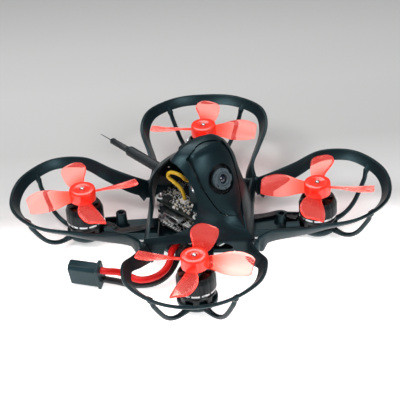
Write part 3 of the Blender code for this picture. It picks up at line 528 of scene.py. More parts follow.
# ---------------------------------------------------------------- motors
# Small brushless motors. The black anodised base holds a bearing tube and nine wound teeth; the
# turning bell has bright magnets in its skirt, a slotted top and a boss under the propeller.
# anodised aluminium: a satin, half metallic black
anodised = skin("black_anodised_aluminium", "#0d1214", "#1a2226", 4.0, 0.12, 0.006, (0.26, 0.38),
                Metallic=0.55, Specular_IOR_Level=0.6)
# enamelled wire: a pinkish metal under a clear lacquer, dull in the gaps
copper = skin("enamelled_copper", "#a8604c", "#e0a493", 1.2, 0.25, 0.03, (0.25, 0.4), Metallic=0.85)
# turned steel: a bright grey metal with fine tool marks
steel = skin("machined_steel", "#9fa5a8", "#d8dcde", 1.5, 0.1, 0.005, (0.2, 0.34), Metallic=1.0)
BELL_RADIUS = 7.05
for corner in CORNERS:
    centre = motor_frame(corner)[0]
    rotor = "rotor_" + corner
    # fixed base: a flange with eight windows, and the bearing tube
    bm = bmesh.new()
    turn(bm, ((1.05, 5.2), (6.7, 5.2), (6.7, 7.4), (6.3, 7.8), (6.3, 8.3), (6.05, 8.75), (2.6, 8.8),
              (2.0, 9.3), (2.0, 14.3), (1.05, 14.3)), 56, centre)
    base = make("motor_flange_" + corner, bm, anodised, bevel=0.12)
    bm = bmesh.new()
    for k in range(8):
        a = 2 * math.pi * (k + 0.5) / 8
        radial = Vector((math.cos(a), math.sin(a), 0))
        side = Vector((-radial.y, radial.x, 0))
        window = [centre + radial * r + side * w + Vector((0, 0, 5.0))
                  for r, w in ((5.0, -1.5), (7.5, -1.5), (7.5, 1.5), (5.0, 1.5))]
        prism(bm, window, (0, 0, 1.9))
    cut(base, make("flange_windows", bm))
    finish(base, "frame", "anodised_aluminium", "motor_base_" + corner)
    # wound teeth
    bm = bmesh.new()
    for k in range(9):
        a = 2 * math.pi * k / 9
        radial = Vector((math.cos(a), math.sin(a), 0))
        side = Vector((-radial.y, radial.x, 0))
        for layer in range(7):
            r = 2.75 + layer * 0.42
            wide = 0.55 + 0.16 * layer
            loop = [centre + radial * r + side * (wide * math.cos(t))
                    + Vector((0, 0, 11.4 + 2.35 * math.sin(t)))
                    for t in (2 * math.pi * i / 14 for i in range(14))]
            rows = []
            for i, point in enumerate(loop):
                ahead = (loop[(i + 1) % 14] - loop[i - 1]).normalized()
                outwards = ahead.cross(radial).normalized()
                rows.append([bm.verts.new(point + 0.23 * (math.cos(q) * radial + math.sin(q) * outwards))
                             for q in (math.pi * j / 3 for j in range(6))])
            for i in range(14):
                for j in range(6):
                    bm.faces.new((rows[i][j], rows[i][(j + 1) % 6], rows[(i + 1) % 14][(j + 1) % 6],
                                  rows[(i + 1) % 14][j]))
    turn(bm, ((2.3, 9.6), (2.6, 9.6), (2.6, 13.4), (2.3, 13.4)), 24, centre)
    finish(make("motor_windings_" + corner, bm, copper), "frame", "copper_winding", "motor_stator_" + corner)
    # turning bell: skirt with narrow joints between twelve segments, shoulder, slotted top and boss
    bm = bmesh.new()
    sides = 96
    profile = ((6.25, 9.2), (BELL_RADIUS - 0.1, 9.2), (BELL_RADIUS, 9.35), (BELL_RADIUS, 13.5),
               (6.85, 13.9), (6.45, 15.1), (6.2, 15.5), (3.0, 15.5), (2.7, 15.8), (2.7, 17.4),
               (1.05, 17.4), (1.05, 14.6), (5.9, 14.6), (6.25, 14.2))
    rows = []
    for radius, z in profile:
        row = []
        for i in range(sides):
            a = 2 * math.pi * i / sides
            groove = 0.16 if i % 8 == 0 and 6.4 < radius and z < 15.2 else 0.0
            reach = radius - groove
            row.append(bm.verts.new(centre + Vector((reach * math.cos(a), reach * math.sin(a), z))))
        rows.append(row)
    for low, high in zip(rows, rows[1:] + rows[:1]):
        for i in range(sides):
            j = (i + 1) % sides
            bm.faces.new((low[i], low[j], high[j], high[i]))
    bell = make("motor_can_" + corner, bm, anodised, sharp=28)
    bm = bmesh.new()
    for k in range(6):
        middle = 2 * math.pi * k / 6
        arc = [(3.3, w) for w in (-0.24, -0.12, 0, 0.12, 0.24)]
        arc += [(5.5, w) for w in (0.32, 0.16, 0, -0.16, -0.32)]
        window = [centre + Vector((r * math.cos(middle + w), r * math.sin(middle + w), 13.6))
                  for r, w in arc]
        prism(bm, window, (0, 0, 4.0))
    cut(bell, make("bell_windows", bm))
    finish(bell, rotor, "anodised_aluminium", "motor_bell_" + corner)
    # magnets under the skirt
    bm = bmesh.new()
    for k in range(12):
        a0 = 2 * math.pi * k / 12 + 0.05
        arc = [a0 + (2 * math.pi / 12 - 0.1) * i / 4 for i in range(5)]
        magnet = [centre + Vector((7.1 * math.cos(a), 7.1 * math.sin(a), 8.9)) for a in arc]
        magnet += [centre + Vector((6.35 * math.cos(a), 6.35 * math.sin(a), 8.9)) for a in reversed(arc)]
        prism(bm, magnet, (0, 0, 0.75))
    finish(make("motor_magnets_" + corner, bm, steel, bevel=0.06), rotor, "steel")
    # shaft
    bm = bmesh.new()
    turn(bm, ((0, 5.2), (0.75, 5.2), (0.75, 22.55), (0.6, 22.75), (0.35, 22.8), (0, 22.8)), 32, centre)
    finish(make("motor_spindle_" + corner, bm, steel), rotor, "steel", "motor_shaft_" + corner)

# ---------------------------------------------------------------- propellers
# Four-blade propellers moulded in clear red-orange polycarbonate: thin blades let the light
# through and look pale, the thick hub looks full red. The paleness is painted into the blades' colour,
# growing with distance from the motor, and both materials carry a painted red glow of their own.
# Tips are cut square with small corners.
# painted glow: the clear blades give off a little red light of their own
prop_clear, shader = new_material("red_polycarbonate", Transmission_Weight=0.93, IOR=1.2, Roughness=0.1,
                                  Emission_Color=linear("#ff1608"), Emission_Strength=0.3)
place = add(prop_clear, "ShaderNodeTexCoord").outputs["Object"]
folded = add(prop_clear, "ShaderNodeVectorMath", {0: place}, operation="ABSOLUTE").outputs[0]
apart = add(prop_clear, "ShaderNodeVectorMath", {0: folded, 1: (MOTOR_XY * MM, MOTOR_XY * MM, 0)},
            operation="SUBTRACT").outputs[0]
flat = add(prop_clear, "ShaderNodeVectorMath", {0: apart, 1: (1, 1, 0)}, operation="MULTIPLY").outputs[0]
radius = add(prop_clear, "ShaderNodeVectorMath", {0: flat}, operation="LENGTH").outputs["Value"]
# painted light: the blades' colour turns paler with distance from the motor, as the thin blade lets more
# light through
thin = add(prop_clear, "ShaderNodeMapRange", {"Value": radius, "From Min": 0.005, "From Max": 0.015},
           interpolation_type="SMOOTHSTEP").outputs[0]
tint = add(prop_clear, "ShaderNodeMix", {"Factor": thin, 6: linear("#ff7a64"), 7: linear("#ffd6cb")},
           data_type="RGBA")
prop_clear.node_tree.links.new(tint.outputs[2], shader.inputs["Base Color"])
# painted glow: the thick hub gives off a little red light of its own
prop_full, shader = new_material("red_polycarbonate_thick", Roughness=0.22, Coat_Weight=0.4,
                                 Emission_Color=linear("#ff2010"), Emission_Strength=0.22)
mottle(prop_full, shader, "#f02414", "#ff4632", 5.0)
HUB_TOP = 22.5
HUB_HEIGHT = 4.8
BLADE_STATIONS = (              # radius, chord, pitch in degrees, lead of the chord's middle
    (4.2, 4.4, 38, 0.0),
    (7.5, 6.0, 35, 0.3),
    (11.5, 8.8, 29, 0.7),
    (15.5, 9.8, 24, 0.9),
    (19.2, 8.6, 20, 0.5),
    (20.6, 6.9, 18, 0.1),
    (20.8, 6.4, 18, 0.0),
)
BLADE_SECTION = (               # along the chord, camber share, thickness share
    (0.5, 0.0, 0.0), (0.46, 0.1, 0.55), (0.35, 0.3, 0.9), (0.15, 0.75, 1.0), (-0.1, 0.95, 1.0),
    (-0.3, 0.8, 0.9), (-0.43, 0.45, 0.6), (-0.5, 0.15, 0.0),
)
BLADE_THICK = 0.36
BLADE_CAMBER = 0.07
for corner in CORNERS:
    centre = motor_frame(corner)[0]
    spin, angle = CORNERS[corner][2:4]
    bm = bmesh.new()
    bottom = HUB_TOP - HUB_HEIGHT
    turn(bm, ((1.05, bottom), (4.6, bottom), (4.9, bottom + 0.3), (4.9, HUB_TOP - 0.6),
              (4.72, HUB_TOP - 0.18), (4.3, HUB_TOP), (1.9, HUB_TOP), (1.7, HUB_TOP - 0.15),
              (1.05, HUB_TOP - 0.15)), 64, centre)
    finish(make("propeller_hub_" + corner, bm, prop_full, sharp=40), "rotor_" + corner, "propeller",
           "propeller_" + corner)
    bm = bmesh.new()
    for k in range(4):
        turned = math.radians(angle + 90 * k)
        radial = Vector((math.cos(turned), math.sin(turned), 0))
        forward = Vector((-radial.y, radial.x, 0)) * spin
        stations = spline([s[:3] for s in BLADE_STATIONS], 4)
        leads = spline([(s[3], 0, 0) for s in BLADE_STATIONS], 4)
        loops = []
        for (radius, chord, pitch), lead in zip(stations, leads):
            slope = math.radians(pitch)
            across = forward * math.cos(slope) + Vector((0, 0, math.sin(slope)))
            normal = Vector((0, 0, math.cos(slope))) - forward * math.sin(slope)
            middle = centre + radial * radius + forward * lead.x
            middle.z = HUB_TOP - HUB_HEIGHT / 2 - 0.2
            rise = chord * BLADE_CAMBER
            upper = [middle + across * (c * chord) + normal * (b * rise + t * BLADE_THICK)
                     for c, b, t in BLADE_SECTION]
            lower = [middle + across * (c * chord) + normal * (b * rise - t * BLADE_THICK - 0.12)
                     for c, b, t in reversed(BLADE_SECTION)]
            loops.append(upper + lower)
        loft(bm, loops)
    finish(make("propeller_blades_" + corner, bm, prop_clear, sharp=50), "rotor_" + corner, "propeller")

# ---------------------------------------------------------------- motor wires
# Three thin black wires from each motor lie side by side round the post and into the pod.
for corner in CORNERS:
    centre, out, along = motor_frame(corner)
    start = WHEELBASE / 2 - 6.7 - 0.9
    route = ((start, 0.3, 6.6), (start - 2.2, 1.4, 6.1), (30.0, 4.35, 6.1), (24.5, 3.2, 6.0),
             (18.0, 1.6, 6.2))
    path = [out * u + along * v + Vector((0, 0, z)) for u, v, z in spline(route, 8)]
    bm = bmesh.new()
    for lane in (-1, 0, 1):
        moved = []
        for i, point in enumerate(path):
            ahead = path[min(i + 1, len(path) - 1)] - path[max(i - 1, 0)]
            side = ahead.cross(Vector((0, 0, 1))).normalized()
            moved.append(point + side * lane * 0.92 + Vector((0, 0, 0.08 * math.sin(i * 0.4 + lane))))
        tube(bm, moved, [0.45] * len(moved), 12)
    finish(make("phase_wires_" + corner, bm, silicone_black), "frame", "wire_black", "motor_wires_" + corner)

# ---------------------------------------------------------------- pod shell
# A thin domed nylon shell that drops from its crown to a square rim, with a large window in each
# side, an arch over each arm, a recessed opening for the camera cover, a hole for the aerial and a
# small round lug on the crown.
POD_SECTIONS = (                # height, half width, front reach, rear reach, roundness
    (5.2, 28.2, 28.2, 28.2, 0.98),
    (9.0, 28.6, 28.6, 28.6, 0.97),
    (11.0, 28.8, 28.8, 28.8, 0.955),
    (13.5, 26.2, 26.2, 26.0, 0.98),
    (17.4, 22.0, 20.4, 21.8, 1.34),
    (22.5, 19.0, 16.7, 19.1, 1.86),
    (26.5, 17.5, 14.8, 17.4, 2.0),
    (30.0, 16.5, 13.2, 14.1, 2.0),
    (34.0, 14.9, 11.6, 8.9, 2.0),
    (38.0, 11.8, 9.4, 4.4, 2.0),
    (40.3, 8.9, 7.7, 2.8, 2.0),
    (41.5, 5.6, 5.4, 1.8, 2.0),
)
WINDOW = ((0.0, 12.5), (-4.6, 12.8), (-8.2, 14.2), (-11.2, 17.2), (-12.2, 21.8), (-11.3, 26.5), (-8.3, 32.6),
          (-4.4, 36.6), (0.0, 37.9))
COVER = ((0.0, 18.0), (3.2, 18.8), (5.4, 21.2), (6.9, 25.0), (7.9, 29.2), (8.3, 33.5), (8.0, 38.0),
         (5.8, 40.7), (0.0, 41.7))
RECESS = ((0.0, 14.3), (3.0, 15.9), (4.6, 18.1), (6.6, 23.3), (8.2, 28.4), (9.3, 33.4), (9.5, 37.4),
          (7.6, 40.6), (0.0, 42.4))
ARCH = ((13.2, 4.0), (13.0, 6.0), (12.2, 8.3), (10.2, 9.7), (6.5, 10.4), (0.0, 10.5))
POD_SIDES = 128
POD_WALL = 1.3
AERIAL_START = Vector((0.0, 17.0, 20.1))
AERIAL_AXIS = Vector((0.0, 1.0, 0.03))


def pod_form(inset, drop):
    """The pod's outer form shrunk by a wall thickness, and run down past its rim for a cutter."""
    fine = spline([s[:3] for s in POD_SECTIONS], 5)
    more = spline([(s[3], s[4], 0) for s in POD_SECTIONS], 5)
    rows_of = [(a.x, a.y, a.z, b.x, b.y) for a, b in zip(fine, more)]
    if drop:
        rim = POD_SECTIONS[0]
        rows_of.insert(0, (rim[0] - drop, *rim[1:]))
    rows_of.append((41.85, 3.0, 3.3, 0.3, 2.0))
    loops = []
    for z, side, front, rear, power in rows_of:
        row = []
        for k in range(POD_SIDES):
            a = 2 * math.pi * k / POD_SIDES
            ca, sa = math.cos(a), math.sin(a)
            x = math.copysign(abs(ca) ** (2 / power), ca) * (side - inset)
            y = math.copysign(abs(sa) ** (2 / power), sa) * ((rear if sa > 0 else front) - inset)
            shift = -1.5 * max(0.0, (z - 41.5) / 0.5)
            row.append((x, y + shift * 0.3, z - inset * min(1.0, max(0.0, (z - 36) / 4))))
        loops.append(row)
    bm = bmesh.new()
    rows = loft(bm, loops, close=False)
    crown = bm.verts.new((0, -1.5, 42.0 - inset))
    for i in range(POD_SIDES):
        bm.faces.new((rows[-1][i], rows[-1][(i + 1) % POD_SIDES], crown))
    bm.faces.new(list(reversed(rows[0])))
    return bm


def mirrored(half_outline, grow, steps):
    """Both halves of an outline in the front view, smoothed and grown."""
    right_half = [Vector((x, 0, z)) for x, z in half_outline]
    left_half = [Vector((-p.x, 0, p.z)) for p in reversed(right_half[1:-1])]
    loop = spline(right_half + left_half + [right_half[0]], steps)[:-1]
    middle = Vector((0, 0, 31))
    return [p + (p - middle).normalized() * grow for p in loop]


def front_prism(name, half_outline, grow, back_plane):
    """A cutter with a front-view outline, from ahead of the pod back to a plane."""
    bm = bmesh.new()
    outline = [Vector((p.x + 0.0007, -32.0, p.z)) for p in mirrored(half_outline, grow, 6)]
    prism(bm, outline, (0, 32.0 + back_plane, 0))
    return make(name, bm)


shell = make("pod_shell", pod_form(0, 0), nylon, bevel=0.28, segments=3, sharp=32)
cut(shell, make("pod_cavity", pod_form(POD_WALL, 4.0)))
for x in (-32.0, 2.0):
    bm = bmesh.new()
    front_half = [(x, y, z) for y, z in WINDOW]
    rear_half = [(x, -y, z) for y, z in reversed(WINDOW[:-1])]
    prism(bm, [p for p in spline(front_half + rear_half, 6)[:-1] if abs(p.y) > 0.1], (30.0, 0, 0))
    cut(shell, make("window", bm))
for corner in ("front_right", "front_left"):
    out, along = motor_frame(corner)[1:]
    half_arch = spline([(v, 0, z) for v, z in ARCH], 6)
    near_half = [along * p.x + Vector((0, 0, p.z)) - out * 45 for p in half_arch]
    far_half = [Vector((0, 0, p.z)) - along * p.x - out * 45 for p in reversed(half_arch[:-1])]
    bm = bmesh.new()
    prism(bm, near_half + far_half, out * 90)
    cut(shell, make("arch", bm))
recess = front_prism("recess", RECESS, 0, -4.0)
cut(recess, make("recess_floor", pod_form(0.8, 4.0)))
cut(shell, recess)
cut(shell, front_prism("cover_opening", COVER, 0.25, -2.7))
bm = bmesh.new()
turn(bm, ((0, -4), (2.55, -4), (2.55, 14), (0, 14)), 48, AERIAL_START, AERIAL_AXIS)
cut(shell, make("aerial_hole", bm))
finish(shell, "frame", "frame_nylon", "canopy_shell")
bm = bmesh.new()
turn(bm, ((0, -3.2), (2.3, -3.2), (2.3, 0.5), (1.9, 0.9), (0, 0.9)), 40, (-4.4, 1.4, 39.9), (-0.25, 0.25, 1))
finish(make("pod_lug", bm, nylon, sharp=50), "frame", "frame_nylon")

# ---------------------------------------------------------------- guard webs
# Four short upright webs of the frame's nylon, one in each valley, where the ends of two guards
# are moulded together.
bm = bmesh.new()
for x, y in ((29.2, 0), (-29.2, 0), (0, 29.2), (0, -29.2)):
    turn(bm, ((0, 4.6), (0.6, 4.8), (1.0, 6.2), (1.25, 9.0), (1.3, 10.8), (0.9, 11.6), (0, 11.7)), 24,
         (x, y, 0))
finish(make("corner_webs", bm, nylon, sharp=60), "frame", "frame_nylon")

# ---------------------------------------------------------------- camera cover
# A separate nylon blank that fills the front of the pod, with a round flared port for the lens.
# The camera looks up at a fixed angle, and the port is bored along that line.
LENS_CENTRE = Vector((0.0, -14.3, 31.4))
LENS_TILT = math.radians(24)
LENS_AXIS = Vector((0.0, -math.cos(LENS_TILT), math.sin(LENS_TILT)))
cover = make("pod_cover", pod_form(0, 0), nylon, bevel=0.3, segments=3, sharp=32)
cut(cover, make("cover_cavity", pod_form(POD_WALL, 4.0)))
cut(cover, front_prism("cover_blank", COVER, -0.15, -3.0), operation="INTERSECT")
bm = bmesh.new()
turn(bm, ((0, -6), (5.7, -6), (5.7, 0.1), (6.3, 1.4), (7.0, 8), (0, 8)), 72, LENS_CENTRE, LENS_AXIS)
cut(cover, make("lens_port", bm))
finish(cover, "frame", "frame_nylon", "camera_cover")

# ---------------------------------------------------------------- canopy screw
# A small steel screw with a driver recess, turned in behind the crown. It holds the pod down on
# the frame.
bm = bmesh.new()
turn(bm, ((0, 0.3), (1.1, 0.3), (1.1, 0.75), (0.9, 1.05), (0.5, 1.15), (0.45, 0.7), (0, 0.7)), 32,
     Vector((-0.8, 2.85, 40.3)), Vector((0.0, 0.8, 0.6)))
finish(make("pod_screw", bm, steel), "frame", "steel", "canopy_screw")

# ---------------------------------------------------------------- camera and lens
# A small board camera in a square moulded case hangs between two cheeks by its side screws. The
# lens barrel has a notched focus ring, an inner light ring and a domed front glass.
# moulded plastic: black for the case and dark grey for the lens ring, both satin
camera_black = skin("camera_case_plastic", "#11171a", "#222b2f", 5.0, 0.15, 0.006, (0.3, 0.45))
pivot = LENS_CENTRE - LENS_AXIS * 8.0
turned = Matrix.Translation(pivot) @ Matrix.Rotation(-LENS_TILT, 4, "X")
bm = bmesh.new()
for half, front, rear in ((6, -3.2, 0.2), (5.7, 0.2, 2.6), (6, 2.6, 4.0)):
    outline = [(-half, front, -half), (half, front, -half), (half, front, half), (-half, front, half)]
    prism(bm, outline, (0, rear - front, 0))
bmesh.ops.transform(bm, matrix=turned, verts=bm.verts)
finish(make("camera_case", bm, camera_black, bevel=0.3), "camera", "camera_plastic", "camera_housing")

bm = bmesh.new()
turn(bm, ((1.9, -4.2), (3.1, -4.2), (3.1, -2.1), (3.75, -2.1), (3.9, -1.95), (3.9, -0.7), (3.75, -0.5),
          (2.75, -0.5), (2.6, -0.85), (2.3, -0.85), (2.2, -0.55), (1.95, -0.5), (1.75, -0.75),
          (1.7, -1.6)), 72, LENS_CENTRE, LENS_AXIS)
ring_grey = skin("lens_ring_plastic", "#3a484e", "#566870", 4.0, 0.15, 0.006, (0.35, 0.5))
barrel = make("lens_ring", bm, ring_grey, bevel=0.08)
side = Vector((1, 0, 0))
lift = LENS_AXIS.cross(side)
bm = bmesh.new()
for k in range(6):
    a = 2 * math.pi * k / 6 + 0.3
    radial = side * math.cos(a) + lift * math.sin(a)
    across = LENS_AXIS.cross(radial)
    middle = LENS_CENTRE + radial * 4.25
    notch = [middle + radial * r + across * w - LENS_AXIS * 1.2
             for r, w in ((-1.15, -0.75), (0.6, -1.0), (0.6, 1.0), (-1.15, 0.75))]
    prism(bm, notch, LENS_AXIS * 2.2)
cut(barrel, make("lens_notches", bm))
finish(barrel, "lens", "camera_plastic", "lens_barrel")

# coated glass: a near-black mirror with a blue cast
coated_glass, shader = new_material("coated_lens_glass", Roughness=0.03, Coat_Weight=1.0, Coat_Roughness=0.02)
mottle(coated_glass, shader, "#0a0f1c", "#1a2440", 10 / 3)
bm = bmesh.new()
turn(bm, ((0, -3.4), (1.6, -3.4), (1.6, -1.5), (1.4, -1.25), (1.0, -0.98), (0.5, -0.84), (0, -0.8)), 48,
     LENS_CENTRE, LENS_AXIS)
finish(make("front_glass", bm, coated_glass), "lens", "lens_glass", "lens_glass")

bm = bmesh.new()
half_plate = [(0, -9.4), (6.9, -9.4), (6.9, -3.6), (8.1, -3.6), (8.1, -6.0), (11.5, -8.4), (11.5, -10.2),
              (10.2, -11.5), (0, -11.5)]
plate_outline = half_plate + [(-x, y) for x, y in reversed(half_plate[1:-1])]
prism(bm, [(x, y, 20.5) for x, y in plate_outline], (0, 0, 0.8))
for x in (-1, 1):
    inner, outer = sorted((x * 7.3, x * 8.1))
    cheek = [(inner, y, z) for y, z in ((-3.6, 20.8), (-9.2, 20.8), (-9.2, 29.4), (-8.2, 30.35),
                                        (-4.6, 30.35), (-3.6, 29.4))]
    prism(bm, cheek, (outer - inner, 0, 0))
finish(make("camera_cradle", bm, nylon, bevel=0.15), "frame", "frame_nylon", "camera_bracket")

for tag, sign in (("right", -1), ("left", 1)):
    bm = bmesh.new()
    turn(bm, ((0, 6.3), (0.75, 6.3), (0.75, 8.4), (1.4, 8.4), (1.5, 8.55), (1.3, 9.0), (0.8, 9.1),
              (0.6, 8.8), (0, 8.8)), 32, pivot, (sign, 0, 0))
    finish(make("tilt_screw_" + tag, bm, steel), "camera", "steel", "camera_screw_" + tag)

# ---------------------------------------------------------------- boards
# Three stacked circuit boards with black solder mask, tinned pads, chips and tiny ceramic parts,
# on four steel screws. The tiny parts are scattered at random, kept off the chips and screw holes.
# lacquered laminate, matt chip resin, bright tinned metal, pale ceramic and white resin
solder_mask = skin("black_solder_mask", "#0c1715", "#16241f", 2.5, 0.4, 0.01, (0.3, 0.42))
chip_black = skin("chip_resin", "#15181a", "#26292b", 2.0, 0.15, 0.006, (0.45, 0.6))
tinned = skin("tinned_solder", "#dfe3e3", "#ffffff", 0.6, 0.15, 0.02, (0.18, 0.34), Metallic=0.15)
ceramic = skin("ceramic_parts", "#8c7257", "#cfc3a9", 0.8, 0.2, 0.005, (0.4, 0.55))
white_resin = skin("white_resin", "#d9d9d4", "#f3f3f0", 3.0, 0.3, 0.004, (0.35, 0.5))
BOARD_SLOTS = [solder_mask, chip_black, tinned, ceramic, white_resin]
RESIN, TIN, CERAMIC, WHITE = 1, 2, 3, 4
SCREW_AT = 10                   # each stack screw's distance from the middle, both ways
dice = random.Random(7)


def block(bm, low, high, slot):
    """A box of one of the board's materials."""
    before = len(bm.faces)
    outline = [(x, y, low[2]) for x, y in ((low[0], low[1]), (high[0], low[1]), (high[0], high[1]),
                                           (low[0], high[1]))]
    prism(bm, outline, (0, 0, high[2] - low[2]))
    bm.faces.ensure_lookup_table()
    for face in bm.faces[before:]:
        face.material_index = slot


def populate(bm, z, keep_out, count):
    """Tiny end-capped parts on a board, kept off its chips and screw holes."""
    placed = 0
    taken = list(keep_out)
    while placed < count:
        x, y = (dice.uniform(-11.6, 11.6) for _ in range(2))
        long, wide = dice.choice(((0.8, 0.42), (0.62, 0.32), (0.5, 0.28), (0.9, 0.6)))
        if dice.random() < 0.5:
            long, wide = wide, long
        if abs(x) + abs(y) > 21 or max(abs(abs(x) - SCREW_AT), abs(abs(y) - SCREW_AT)) < 2.4:
            continue
        if any(abs(x - a) < c + long + 0.12 and abs(y - b) < d + wide + 0.12 for a, b, c, d in taken):
            placed += 0.05
            continue
        taken.append((x, y, long, wide))
        placed += 1
        tall = dice.uniform(0.35, 0.8)
        top = z + tall
        body = dice.choice((RESIN, CERAMIC, CERAMIC, RESIN))
        if long > wide:
            end = long * 0.45
            block(bm, (x - long, y - wide, z), (x - long + end, y + wide, top), TIN)
            block(bm, (x + long - end, y - wide, z), (x + long, y + wide, top), TIN)
            block(bm, (x - long + end, y - wide * 0.96, z), (x + long - end, y + wide * 0.96, top - 0.03),
                  body)
        else:
            end = wide * 0.45
            block(bm, (x - long, y - wide, z), (x + long, y - wide + end, top), TIN)
            block(bm, (x - long, y + wide - end, z), (x + long, y + wide, top), TIN)
            block(bm, (x - long * 0.96, y - wide + end, z), (x + long * 0.96, y + wide - end, top - 0.03),
                  body)


def chip(bm, x, y, half_x, half_y, z, height):
    """A resin chip with bright legs along its sides."""
    block(bm, (x - half_x, y - half_y, z), (x + half_x, y + half_y, z + height), RESIN)
    step = 0.65
    for along_x in (True, False):
        half_run, half_gap = (half_x, half_y) if along_x else (half_y, half_x)
        n = int((half_run - 0.3) / step)
        for k in range(-n, n + 1):
            for s in (-1, 1):
                a, b = k * step, s * (half_gap + 0.22)
                px, py = (x + a, y + b) if along_x else (x + b, y + a)
                hx, hy = (0.14, 0.24) if along_x else (0.24, 0.14)
                block(bm, (px - hx, py - hy, z), (px + hx, py + hy, z + 0.25), TIN)


def pcb(name, z, chips, count, node):
    """A drilled board at a height; returns the mesh of the chips and tiny parts on it."""
    half, corner = 12.4, 2.4
    pts = ((half - corner, -half), (half, -half + corner), (half, half - corner), (half - corner, half),
           (-half + corner, half), (-half, half - corner), (-half, -half + corner), (-half + corner, -half))
    bm = bmesh.new()
    prism(bm, [(x, y, z) for x, y in pts], (0, 0, 1.0))
    slab = make(name, bm, solder_mask, bevel=0.08)
    bm = bmesh.new()
    for x in (-SCREW_AT, SCREW_AT):
        for y in (-SCREW_AT, SCREW_AT):
            turn(bm, ((0, z - 1), (1.25, z - 1), (1.25, z + 2), (0, z + 2)), 24, (x, y, 0))
    cut(slab, make(name + "_holes", bm))
    finish(slab, "frame", "circuit_board", node)
    bm = bmesh.new()
    for x, y, half_x, half_y, height in chips:
        chip(bm, x, y, half_x, half_y, z + 1.0, height)
    populate(bm, z + 1.0, [c[:2] + (c[2] + 0.4, c[3] + 0.4) for c in chips], count)
    for x in (-SCREW_AT, SCREW_AT):
        for y in (-SCREW_AT, SCREW_AT):
            turn(bm, ((1.3, z + 1.0), (2.1, z + 1.0), (2.1, z + 1.06), (1.3, z + 1.06)), 24, (x, y, 0))
    bm.faces.ensure_lookup_table()
    for face in bm.faces[-4 * 4 * 24:]:          # four ring pads of four walls and 24 sides
        face.material_index = TIN
    return bm


bm = pcb("power_board", 7.6, ((0, 0, 3.5, 3.5, 1.0), (-6.5, 4.5, 1.8, 2.4, 1.2), (6.5, 4.5, 1.8, 2.4, 1.2),
                              (6.5, -4.5, 1.8, 2.4, 1.2)), 130, "esc_board")
block(bm, (-14.3, -9.2, 7.3), (-11.8, -3.2, 8.55), TIN)
for k in range(9):
    block(bm, (-12.5, -2.5 + k * 1.35, 8.5), (-11.5, -1.7 + k * 1.35, 8.72), TIN)
    for s in (-1, 1):
        block(bm, (-6 + k * 1.35, s * 11.9 - 0.5, 8.5), (-5.2 + k * 1.35, s * 11.9 + 0.5, 8.72), TIN)
finish(make("power_board_parts", bm, *BOARD_SLOTS), "frame", "circuit_board")
bm = pcb("control_board", 12.2, ((1.5, 0, 3.6, 3.6, 1.0), (6.8, 6.0, 1.4, 1.4, 1.2),
                                 (-4.6, 7.4, 1.5, 1.2, 1.3), (-4.6, -7.4, 1.5, 1.2, 1.3)), 170,
         "flight_controller")
block(bm, (-12.4, 5.4, 13.2), (-9.8, 8.9, 14.6), RESIN)
for k in range(5):
    block(bm, (-12.9, -8.9 + k * 1.0, 13.2), (-11.5, -8.3 + k * 1.0, 13.6), TIN)
finish(make("control_board_parts", bm, *BOARD_SLOTS), "frame", "circuit_board")
bm = pcb("video_board", 17.0, ((1.0, 2.5, 4.6, 4.0, 1.4), (-4.0, -8.0, 2.0, 1.4, 1.0)), 170, "vtx_board")
block(bm, (-8.0, -0.7, 18.0), (-5.9, 1.9, 19.1), WHITE)
block(bm, (-11.7, 4.6, 18.0), (-9.0, 7.6, 19.4), RESIN)
finish(make("video_board_parts", bm, *BOARD_SLOTS), "frame", "circuit_board")

# ---------------------------------------------------------------- stack screws, socket and button
# Steel screws through the stack, a pressed steel micro USB shell and the white channel button.
for i, (x, y) in enumerate(((-1, -1), (1, -1), (-1, 1), (1, 1))):
    bm = bmesh.new()
    profile = [(0, 5.2)] + [(0.95 - 0.12 * (k % 2), 5.2 + 0.3 * k) for k in range(48)]
    profile += [(0.7, 20.0), (0, 20.0)]
    turn(bm, profile, 20, (x * SCREW_AT, y * SCREW_AT, 0))
    finish(make(f"stack_screw_{i + 1}", bm, steel), "frame", "steel", f"stack_post_{i + 1}")
SOCKET_BOTTOM = 13.5
SHELL_OUTLINE = ((-3.0, 0), (3.0, 0), (3.9, 1.0), (3.9, 2.7), (-3.9, 2.7), (-3.9, 1.0))
MOUTH_OUTLINE = ((-2.7, 0.3), (2.7, 0.3), (3.55, 1.1), (3.55, 2.4), (-3.55, 2.4), (-3.55, 1.1))
bm = bmesh.new()
prism(bm, [(-14.9, y, SOCKET_BOTTOM + z) for y, z in SHELL_OUTLINE], (5.6, 0, 0))
socket = make("usb_shell", bm, steel, bevel=0.15)
bm = bmesh.new()
prism(bm, [(-15.5, y, SOCKET_BOTTOM + z) for y, z in MOUTH_OUTLINE], (4.8, 0, 0))
cut(socket, make("usb_mouth", bm))
finish(socket, "frame", "steel", "usb_socket")
bm = bmesh.new()
block(bm, (-14.4, -2.4, 14.9), (-10.9, 2.4, 15.4), 0)
finish(make("usb_tongue", bm, chip_black, bevel=0.05), "frame", "circuit_board")
bm = bmesh.new()
turn(bm, ((0, 18.3), (0.9, 18.3), (0.9, 19.35), (0.75, 19.5), (0, 19.5)), 32, (-7.0, -4.4, 0))
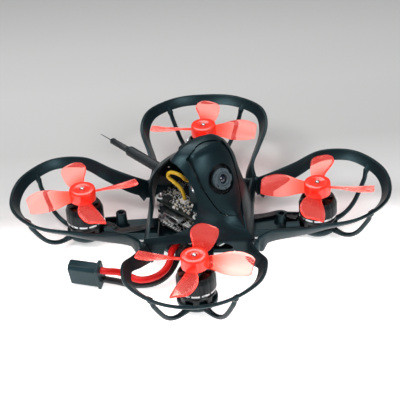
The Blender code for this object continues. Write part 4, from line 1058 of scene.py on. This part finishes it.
finish(make("button_cap", bm, white_resin), "button", "white_plastic", "channel_button")

# ---------------------------------------------------------------- camera cable
# One yellow silicone wire loops up from the top board and over to the back of the camera.
CABLE_ROUTE = (
    (-7.0, 0.6, 19.6), (-7.0, 0.6, 20.8), (-7.3, 1.7, 23.6), (-8.3, 4.2, 26.0), (-9.0, 6.4, 27.6),
    (-9.1, 5.7, 29.6), (-9.0, 3.4, 30.8), (-8.8, 0.7, 31.1), (-7.8, -0.5, 29.9), (-6.4, 0.5, 28.1),
    (-4.9, 0.1, 26.8), (-4.5, -1.76, 27.6),
)
# the battery lead's silicone in yellow
silicone_yellow = skin("yellow_silicone", "#d9a514", "#f0cf3a", 4.0, 0.25, 0.008, (0.34, 0.46))
wire("video_cable", spline(CABLE_ROUTE, 6), 0.7, silicone_yellow, "frame", "wire_yellow", "camera_cable")

# ---------------------------------------------------------------- aerial
# A soft aerial in black shrink tube: a thick sleeve, a cone where it shrinks down, a thinner tube,
# and the bare hair-thin radiator at its end.
# shrink tube: dull, with a slightly rippled skin
shrink = skin("black_shrink_tube", "#0f181b", "#1f2c31", 6.0, 0.4, 0.03, (0.38, 0.52))
bm = bmesh.new()
profile = [(0, 0), (1.9, 0), (2.05, 0.2)] + [(2.05 - 0.03 * (k % 3), 0.8 + 0.7 * k) for k in range(30)]
profile += [(2.02, 22.3), (1.85, 22.9), (1.35, 23.8), (1.15, 24.3), (0.9, 24.4), (0, 24.4)]
turn(bm, profile, 40, AERIAL_START, AERIAL_AXIS)
finish(make("aerial_sleeve", bm, shrink, sharp=60), "frame", "heat_shrink", "antenna_sleeve")
bm = bmesh.new()
turn(bm, ((0, 24.2), (1.15, 24.2), (1.25, 24.5), (1.2, 29.0), (1.25, 32.9), (1.1, 33.2), (0.6, 33.2),
          (0.5, 32.6), (0.2, 32.6), (0.12, 40.1), (0, 40.1)), 32, AERIAL_START, AERIAL_AXIS)
finish(make("aerial_end", bm, shrink, sharp=60), "frame", "heat_shrink", "antenna_tip")

low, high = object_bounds()
